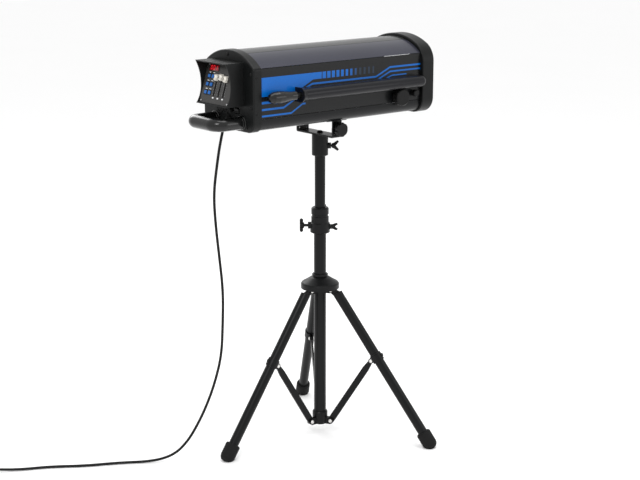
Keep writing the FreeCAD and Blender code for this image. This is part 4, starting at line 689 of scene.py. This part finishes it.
@dataclass
class Studio:
    """Pale floor, soft lights and the camera."""

    floor_size: float = 30.0
    camera_distance: float = 4.0
    camera_height: float = 1.5752
    heading: float = 39.56
    pitch: float = 13.913
    focal_length: float = 81.16
    lights: Tuple[Tuple[str, Point, Point, float, float], ...] = (
        ("key_light", (-2.6, -1.6, 2.9), (0.0, 0.0, 0.85), 1.2, 40.0),
        ("fill_light", (1.9, -3.2, 1.6), (0.0, 0.0, 0.8), 1.6, 16.0),
        ("top_light", (0.3, -0.4, 3.6), (0.0, 0.0, 1.0), 2.0, 40.0),
        ("rim_light", (0.6, 3.0, 2.4), (0.0, 0.0, 0.9), 1.6, 26.0),
    )

    def build(self) -> None:
        """Makes the floor, the lights, the world and the camera."""
        self.floor()
        self.world()
        for name, place, aim, size, power in self.lights:
            self.light(name, place, aim, size, power)
        self.camera()

    def floor(self) -> None:
        """Pale floor with a faint tone."""
        mesh = bmesh.new()
        bmesh.ops.create_grid(mesh, x_segments=1, y_segments=1, size=self.floor_size / 2.0)
        bmesh.ops.translate(mesh, verts=mesh.verts, vec=(0.0, 0.0, -0.0005))
        data = bpy.data.meshes.new("studio_floor")
        mesh.to_mesh(data)
        mesh.free()
        graph = Graph("studio_floor")
        tone = graph.noise(1.2, 2.0)
        pale, paler = rgba((0.96, 0.96, 0.96)), rgba((0.975, 0.975, 0.975))
        graph.set(Base_Color=graph.mix(tone, pale, paler), Roughness=0.75)
        data.materials.append(graph.material)
        floor = bpy.data.objects.new("studio_floor", data)
        bpy.context.collection.objects.link(floor)

    def world(self) -> None:
        """Even white surround."""
        world = bpy.data.worlds.new("surround")
        world.use_nodes = True
        background = world.node_tree.nodes["Background"]
        background.inputs["Color"].default_value = (1.0, 1.0, 1.0, 1.0)
        background.inputs["Strength"].default_value = 1.0
        bpy.context.scene.world = world
        bpy.context.scene.view_settings.view_transform = "Standard"

    def light(self, name: str, place: Point, aim: Point, size: float, power: float) -> None:
        """Adds a square area light.

        Args:
            name: Light's name.
            place: Where it stands.
            aim: Point that it faces.
            size: Side of the square in metres.
            power: Power in watts.
        """
        data = bpy.data.lights.new(name, "AREA")
        data.size = size
        data.energy = power
        light = bpy.data.objects.new(name, data)
        light.location = place
        light.rotation_euler = (Vector(aim) - Vector(place)).to_track_quat("-Z", "Y").to_euler()
        bpy.context.collection.objects.link(light)

    def camera(self) -> None:
        """Adds the camera behind and beside the lamp."""
        data = bpy.data.cameras.new("camera")
        data.sensor_width = 36.0
        data.lens = self.focal_length
        data.clip_end = 60.0
        heading = math.radians(self.heading)
        camera = bpy.data.objects.new("camera", data)
        camera.location = (-self.camera_distance * math.sin(heading),
                           -self.camera_distance * math.cos(heading),
                           self.camera_height)
        camera.rotation_euler = (math.radians(90.0 - self.pitch), 0.0, -heading)
        bpy.context.collection.objects.link(camera)
        bpy.context.scene.camera = camera


@dataclass
class MainsLead:
    """Mains lead that hangs from the rear and runs off along the floor to its plug."""

    radius: float = 3.75 * MM
    length: float = 1.5
    sides: int = 14
    slack_start: Point = (-0.357, 0.009, 0.60)
    slack_end: Point = (-0.336, -0.002, 0.93)
    route: Tuple[Point, ...] = (
        (-0.336, -0.002, 0.937), (-0.345, -0.001, 0.903), (-0.352, 0.005, 0.845), (-0.359, 0.013, 0.765),
        (-0.357, 0.009, 0.680), (-0.350, 0.004, 0.590), (-0.343, -0.001, 0.495), (-0.344, 0.002, 0.400),
        (-0.349, 0.003, 0.312), (-0.364, 0.016, 0.232), (-0.381, 0.033, 0.165), (-0.401, 0.051, 0.107),
        (-0.424, 0.068, 0.058), (-0.455, 0.089, 0.020), (-0.506, 0.118, 0.0042), (-0.588, 0.172, 0.0042),
        (-0.672, 0.213, 0.0042), (-0.747, 0.268, 0.0042), (-0.826, 0.305, 0.0042), (-0.884, 0.343, 0.008),
        (-0.930, 0.367, 0.014),
    )

    def centreline(self) -> List[Vector]:
        """Points along the route's smooth spline."""
        curve = bpy.data.curves.new("lead_route", "CURVE")
        curve.dimensions = "3D"
        spline = curve.splines.new("NURBS")
        spline.points.add(len(self.route) - 1)
        for point, place in zip(spline.points, self.route):
            point.co = (*place, 1.0)
        spline.order_u = 3
        spline.use_endpoint_u = True
        spline.resolution_u = 10
        holder = bpy.data.objects.new("lead_route", curve)
        line = bpy.data.meshes.new_from_object(holder)
        points = [vert.co.copy() for vert in line.vertices]
        bpy.data.objects.remove(holder)
        bpy.data.meshes.remove(line)
        bpy.data.curves.remove(curve)
        return points

    def sheath(self, points: Sequence[Vector]) -> bpy.types.Mesh:
        """Round sheath swept along the centreline.

        Args:
            points: Centreline's points.

        Returns:
            The sheath's mesh, closed at both ends.
        """
        shape = bmesh.new()
        heading = (points[1] - points[0]).normalized()
        side = heading.cross(Vector((0.0, 1.0, 0.0))).normalized()
        rings = []
        for index, point in enumerate(points):
            ahead = points[min(index + 1, len(points) - 1)] - points[max(index - 1, 0)]
            ahead.normalize()
            side = (side - ahead * side.dot(ahead)).normalized()
            turn = Matrix((side, ahead.cross(side), ahead)).transposed().to_4x4()
            place = Matrix.Translation(point) @ turn
            made = bmesh.ops.create_circle(shape, segments=self.sides, radius=self.radius, matrix=place)
            rings.append(made["verts"])
        for ring, following in zip(rings, rings[1:]):
            for spot in range(self.sides):
                after = (spot + 1) % self.sides
                shape.faces.new((ring[spot], ring[after], following[after], following[spot]))
        shape.faces.new(rings[0][::-1])
        shape.faces.new(rings[-1])
        bmesh.ops.recalc_face_normals(shape, faces=shape.faces)
        data = bpy.data.meshes.new("mains_lead")
        shape.to_mesh(data)
        shape.free()
        data.shade_smooth()
        data.set_sharp_from_angle(angle=math.radians(50.0))
        return data

    def plug(self) -> bpy.types.Object:
        """Moulded plug with a ribbed tail and two round pins."""
        foot = Vector(self.route[-1])
        along = (foot - Vector(self.route[-2])).normalized()
        place = facing(along, foot)
        shape = Shape()
        profile = [(0.0, 0.0), (0.0056, 0.0)]
        for rib in range(4):
            start = 0.0015 + rib * 0.0026
            thick = 0.0060 + rib * 0.0005
            profile += [(thick, start), (thick, start + 0.0014), (thick - 0.0008, start + 0.0016),
                        (thick - 0.0008, start + 0.0024)]
        profile += [(0.0086, 0.0135), (0.0104, 0.0165), (0.0124, 0.0215), (0.0129, 0.0235), (0.0129, 0.0440),
                    (0.0122, 0.0456), (0.0112, 0.0460), (0.0, 0.0460)]
        shape.turned(profile, place, 40)
        for rib in range(6):
            height = 0.0255 + rib * 0.0025
            shape.turned(((0.0128, height), (0.01298, height + 0.0004), (0.01298, height + 0.0011),
                          (0.0128, height + 0.0015)), place, 40)
        count = len(shape.mesh.faces)
        pin = ((0.0, 0.0178), (0.0012, 0.0177), (0.0020, 0.0168), (0.0021, 0.0155), (0.0021, 0.0), (0.0, 0.0))
        for side in (-1.0, 1.0):
            offset = Matrix.Translation((0.0, side * 0.006, 0.0458))
            shape.turned(pin, place @ offset, 20)
        shape.tint_from(count, 1)
        return shape.finish("mains_plug_moulding", "yoke_frame", (Finishes.CORD, Finishes.PIN), "cord_black")

    def build(self) -> None:
        points = self.centreline()
        lead = dress_new("mains_lead", self.sheath(points), None, (Finishes.CORD,))
        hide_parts("power_cord")
        plug = self.plug()
        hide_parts("mains_plug")
        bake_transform(lead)


@dataclass
class Stand:
    """Bright rivet heads on the folding tripod's legs and braces."""

    leg_angles: Tuple[float, ...] = (60.0, 180.0, 300.0)
    pivot_radius: float = 34.0 * MM
    spider_z: float = 42.0 * MM
    link: float = 234.0 * MM
    spread: float = 31.8
    hub_grip: float = 7.4 * MM
    clip_grip: float = 5.8 * MM
    spider_grip: float = 6.9 * MM

    def heads(self, name: str, body: str, angle: float, spots: Sequence[Tuple[float, float, float]]) -> None:
        """Domed rivet heads on both sides of some pivots.

        Args:
            name: Piece's name.
            body: Body that the rivets belong to.
            angle: Direction of the leg about the mast, in degrees.
            spots: Radius from the mast, height and half grip of each pivot.
        """
        shape = Shape()
        for radius, height, half in spots:
            for side in (-1.0, 1.0):
                place = about_mast(angle) @ facing((0.0, side, 0.0), (radius, side * half, height))
                shape.turned(DOME, place, 24)
        shape.finish(name, body, (Finishes.RIVET,), "screw_zinc")

    def build(self) -> None:
        """Makes every rivet head on the stand."""
        lean = math.radians(self.spread)
        middle_r = self.pivot_radius + self.link * math.sin(lean)
        middle_z = self.spider_z + self.link * math.cos(lean)
        hub_z = self.spider_z + 2.0 * self.link * math.cos(lean)
        for number, angle in enumerate(self.leg_angles, 1):
            self.heads(f"leg_{number}_rivet_heads", f"leg_{number}", angle,
                       ((self.pivot_radius, hub_z, self.hub_grip), (middle_r, middle_z, self.clip_grip)))
            self.heads(f"brace_{number}_rivet_heads", f"brace_{number}", angle,
                       ((self.pivot_radius, self.spider_z, self.spider_grip),))


@dataclass
class ControlFace:
    """Everything printed and lit on the rear control panel."""

    panel_x: float = -0.364
    lean: float = 18.0
    foot: float = -45.0 * MM
    half_width: float = 62.0 * MM
    low: float = -43.0 * MM
    high: float = 61.0 * MM
    button_columns: Tuple[float, ...] = (45.5 * MM, 28.5 * MM)
    button_rows: Tuple[float, ...] = (27.0 * MM, 5.0 * MM, -17.0 * MM)
    button_hole: float = 5.6 * MM
    fader_columns: Tuple[float, ...] = (9.0 * MM, -12.0 * MM, -33.0 * MM)
    fader_middle: float = 5.0 * MM
    fader_reach: float = 28.0 * MM
    display: Tuple[float, float, float, float] = (11.0 * MM, 51.0 * MM, 42.0 * MM, 58.0 * MM)

    def tile(self, shape: Shape, y: Tuple[float, float], z: Tuple[float, float], stand: Tuple[float, float],
             bevel: float = 0.0) -> None:
        """Adds a thin tile on the panel.

        Args:
            shape: Shape that it joins.
            y: Its two ends across the panel.
            z: Its two ends up the panel, from the lamp's axis.
            stand: How far its back and its face stand off the panel.
            bevel: Radius of its edges.
        """
        shape.box((self.panel_x - stand[1], y[0], LAMP_AXIS_Z + z[0]),
                  (self.panel_x - stand[0], y[1], LAMP_AXIS_Z + z[1]), bevel, self.leaning())

    def leaning(self) -> Matrix:
        """Turn that lays an upright piece onto the leaning panel."""
        foot = Vector((self.panel_x, 0.0, LAMP_AXIS_Z + self.foot))
        turn = Matrix.Rotation(math.radians(self.lean), 4, "Y")
        return Matrix.Translation(foot) @ turn @ Matrix.Translation(-foot)

    def film(self) -> None:
        """Frames of film round the buttons and the fader slots."""
        shape = Shape()
        for y in self.button_columns:
            for z in self.button_rows:
                self.frame(shape, y, z, self.button_hole, self.button_hole, 1.4 * MM)
        for y in self.fader_columns:
            self.frame(shape, y, self.fader_middle, 1.9 * MM, self.fader_reach + 0.4 * MM, 1.0 * MM)
        shape.finish("control_bezels", "lamp", (Finishes.PLASTIC,), "control_plastic")

    def frame(self, shape: Shape, y: float, z: float, half_y: float, half_z: float, rim: float) -> None:
        """Adds a raised rim of four bars round an opening.

        Args:
            shape: Shape that it joins.
            y: Opening's middle across the panel.
            z: Opening's middle up the panel.
            half_y: Half of the opening's width.
            half_z: Half of the opening's height.
            rim: Width of the bars.
        """
        stand = (0.0, 0.7 * MM)
        for side in (-1.0, 1.0):
            ends = sorted((y + side * half_y, y + side * (half_y + rim)))
            self.tile(shape, tuple(ends), (z - half_z - rim, z + half_z + rim), stand, 0.2 * MM)
            ends = sorted((z + side * half_z, z + side * (half_z + rim)))
            self.tile(shape, (y - half_y, y + half_y), tuple(ends), stand, 0.2 * MM)

    def scales(self) -> None:
        """White dashes beside the faders and over the buttons."""
        shape = Shape()
        stand = (-0.05 * MM, 0.12 * MM)
        marks, middle_mark, half_span = 9, 4, 4.5
        long_mark, short_mark = 2.6 * MM, 1.5 * MM
        beside, half_line = 4.4 * MM, 0.25 * MM
        for y in self.fader_columns:
            for step in range(marks):
                z = self.fader_middle + (step - middle_mark) * self.fader_reach / half_span
                long = long_mark if step % middle_mark == 0 else short_mark
                for side in (-1.0, 1.0):
                    ends = sorted((y + side * beside, y + side * (beside + long)))
                    self.tile(shape, tuple(ends), (z - half_line, z + half_line), stand)
            self.tile(shape, (y - 3.4 * MM, y + 3.4 * MM), (-31.0 * MM, -27.4 * MM), stand)
        for y in self.button_columns:
            for z in self.button_rows:
                self.tile(shape, (y - 4.0 * MM, y + 4.0 * MM), (z + 9.0 * MM, z + 10.6 * MM), stand)
        shape.finish("control_dashes", "lamp", (Finishes.INK,), "control_plastic")

    def readout(self) -> None:
        """Dark red window with three lit digits."""
        y0, y1, z0, z1 = self.display
        window = Shape()
        lap, rounding = 0.3 * MM, 0.3 * MM
        self.tile(window, (y0 - lap, y1 + lap), (z0 - lap, z1 + lap), (0.4 * MM, 2.0 * MM), rounding)
        window.finish("display_window", "lamp", (Finishes.WINDOW,), "control_plastic")
        digits = Shape()
        digit_pitch = 10.5 * MM
        for place, lit in enumerate(("abcdef", "abcdef", "bc")):
            middle = (y0 + y1) / 2.0 + (1.0 - place) * digit_pitch
            self.digit(digits, middle, (z0 + z1) / 2.0, lit)
        digits.finish("display_digits", "lamp", (Finishes.DIGIT,), "control_plastic")

    def digit(self, shape: Shape, y: float, z: float, lit: str) -> None:
        """Adds one seven-segment digit, seen from the rear.

        Args:
            shape: Shape that it joins.
            y: Middle across the panel.
            z: Middle up the panel.
            lit: Letters of the lit segments.
        """
        half, tall, thin, gap = 2.7 * MM, 5.2 * MM, 0.65 * MM, 0.4 * MM
        stand = (1.9 * MM, 2.15 * MM)
        bars = {"a": (0.0, tall), "g": (0.0, 0.0), "d": (0.0, -tall)}
        posts = {"b": (-half, 0.5), "c": (-half, -0.5), "e": (half, -0.5), "f": (half, 0.5)}
        for name in lit:
            if name in bars:
                middle = z + bars[name][1]
                self.tile(shape, (y - half + thin, y + half - thin), (middle - thin, middle + thin), stand)
            else:
                across, up = posts[name]
                middle = z + up * tall
                self.tile(shape, (y + across - thin, y + across + thin),
                          (middle - tall / 2.0 + gap, middle + tall / 2.0 - gap), stand)

    def screws(self) -> None:
        """Small screws at the panel's corners."""
        shape = Shape()
        head = ((0.0, 0.0013), (0.0012, 0.0013), (0.0022, 0.0008), (0.0025, 0.0), (0.0, 0.0))
        for y in (-self.half_width + 4.0 * MM, self.half_width - 4.0 * MM):
            for z in (self.low + 3.0 * MM, self.high - 3.0 * MM):
                upright = facing((-1.0, 0.0, 0.0), (self.panel_x, y, LAMP_AXIS_Z + z))
                shape.turned(head, self.leaning() @ upright, 18)
        shape.finish("control_screws", "lamp", (Finishes.SCREW,), "screw_zinc")

    def build(self) -> None:
        """Makes the panel's rims, dashes, display and screws."""
        self.film()
        self.scales()
        self.readout()
        self.screws()


@dataclass
class Casing:
    """Small metalwork of the lamp's casing that stands on its CAD panels."""

    half_width: float = 0.112
    cap_x: float = -0.305
    rim_screws: Tuple[float, ...] = (30.0 * MM, -66.0 * MM)
    cap_rear: float = -0.315
    handle_half: float = 59.0 * MM
    handle_z: float = -93.0 * MM
    handle_radius: float = 17.0 * MM
    emitter_x: float = -0.1929

    def side_screws(self) -> None:
        """Countersunk screws in both sides of the rear cap's rim."""
        shape = Shape()
        head = ((0.0, 0.0004), (0.0011, 0.0004), (0.0014, 0.0011), (0.0033, 0.0009), (0.0040, 0.0),
                (0.0, 0.0))
        for side in (-1.0, 1.0):
            for z in self.rim_screws:
                foot = (self.cap_x, side * self.half_width, LAMP_AXIS_Z + z)
                shape.turned(head, facing((0.0, side, 0.0), foot), 24)
        shape.finish("rim_screws", "lamp", (Finishes.BOLT,), "bolt_black")

    def handle_collars(self) -> None:
        """Flanged collars where the handle meets the rear cap."""
        shape = Shape()
        radius = self.handle_radius
        collar = ((radius - 0.002, 0.0), (radius + 0.0035, 0.0), (radius + 0.0035, 0.0022),
                  (radius + 0.0012, 0.0034), (radius + 0.0010, 0.0075), (radius - 0.0002, 0.0085))
        for side in (-1.0, 1.0):
            foot = (self.cap_rear, side * self.handle_half, LAMP_AXIS_Z + self.handle_z)
            shape.turned(collar, facing((-1.0, 0.0, 0.0), foot), 40)
        shape.finish("handle_collars", "lamp", (Finishes.GRIP,), "grip_black")

    def emitter(self) -> None:
        """Phosphor square on the light board."""
        shape = Shape()
        half = 0.011
        shape.box((self.emitter_x, -half, LAMP_AXIS_Z - half),
                  (self.emitter_x + 0.0012, half, LAMP_AXIS_Z + half), 0.0004)
        shape.finish("light_emitter", "lamp", (Finishes.PHOSPHOR,), "inner_aluminium")

    def build(self) -> None:
        """Makes the casing's small pieces."""
        self.side_screws()
        self.handle_collars()
        self.emitter()


class Dressing:
    """Finishes of the CAD nodes."""

    CHOICES: Dict[Finish, Tuple[str, ...]] = {
        Finishes.STAND: ("lower_mast_tube", "upper_mast_tube", "mast_spider", "brace_1", "brace_2", "brace_3",
                         "leg_tube_1", "leg_tube_2", "leg_tube_3", "leg_fittings_1", "leg_fittings_2",
                         "leg_fittings_3", "yoke", "lamp_bracket"),
        Finishes.CASTING: ("mast_clamp_collar", "leg_hub", "stand_socket"),
        Finishes.BOLT: ("casing_screws", "mast_tee_bolt", "mast_wing_bolt", "socket_wing_bolt", "yoke_bolts",
                        "tilt_knob", "side_knob"),
        Finishes.FOOT: ("rubber_foot_1", "rubber_foot_2", "rubber_foot_3"),
        Finishes.COVER: ("shoulder_covers",),
        Finishes.TOP: ("top_cover",),
        Finishes.RAIL: ("focus_rail",),
        Finishes.SIDE: ("side_panel_near", "side_panel_far"),
        Finishes.CASE: ("bottom_tray",),
        Finishes.CAP: ("rear_cap", "front_cap", "lens_retainer"),
        Finishes.LENS: ("front_lens",),
        Finishes.GRIP: ("focus_rod", "handle"),
        Finishes.ALUMINIUM: ("light_engine", "guide_rods", "color_wheel", "zoom_carriage"),
        Finishes.PLASTIC: ("control_box", "rear_connectors", "power_switch", "fan_rotor"),
        Finishes.PANEL: ("control_panel",),
        Finishes.BUTTON: tuple(f"button_{number}" for number in range(1, 7)),
        Finishes.FADER: tuple(f"fader_knob_{number}" for number in range(1, 4)),
        Finishes.CORD: ("strain_relief", "power_cord", "mains_plug"),
    }

    def build(self) -> None:
        """Gives every CAD node its finish."""
        for finish, nodes in self.CHOICES.items():
            for name in nodes:
                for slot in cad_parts[name].material_slots:
                    slot.material = finish.material()
        missing = set(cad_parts) - {name for nodes in self.CHOICES.values() for name in nodes}
        if missing:
            raise ValueError(f"no finish for {sorted(missing)}")


def main() -> None:
    """Builds the studio, the new pieces and the finishes."""
    Studio().build()
    MainsLead().build()
    Dressing().build()
    Stand().build()
    ControlFace().build()
    Casing().build()


if __name__ == "__main__":
    logging.basicConfig(level=logging.INFO, format="%(message)s")
    main()
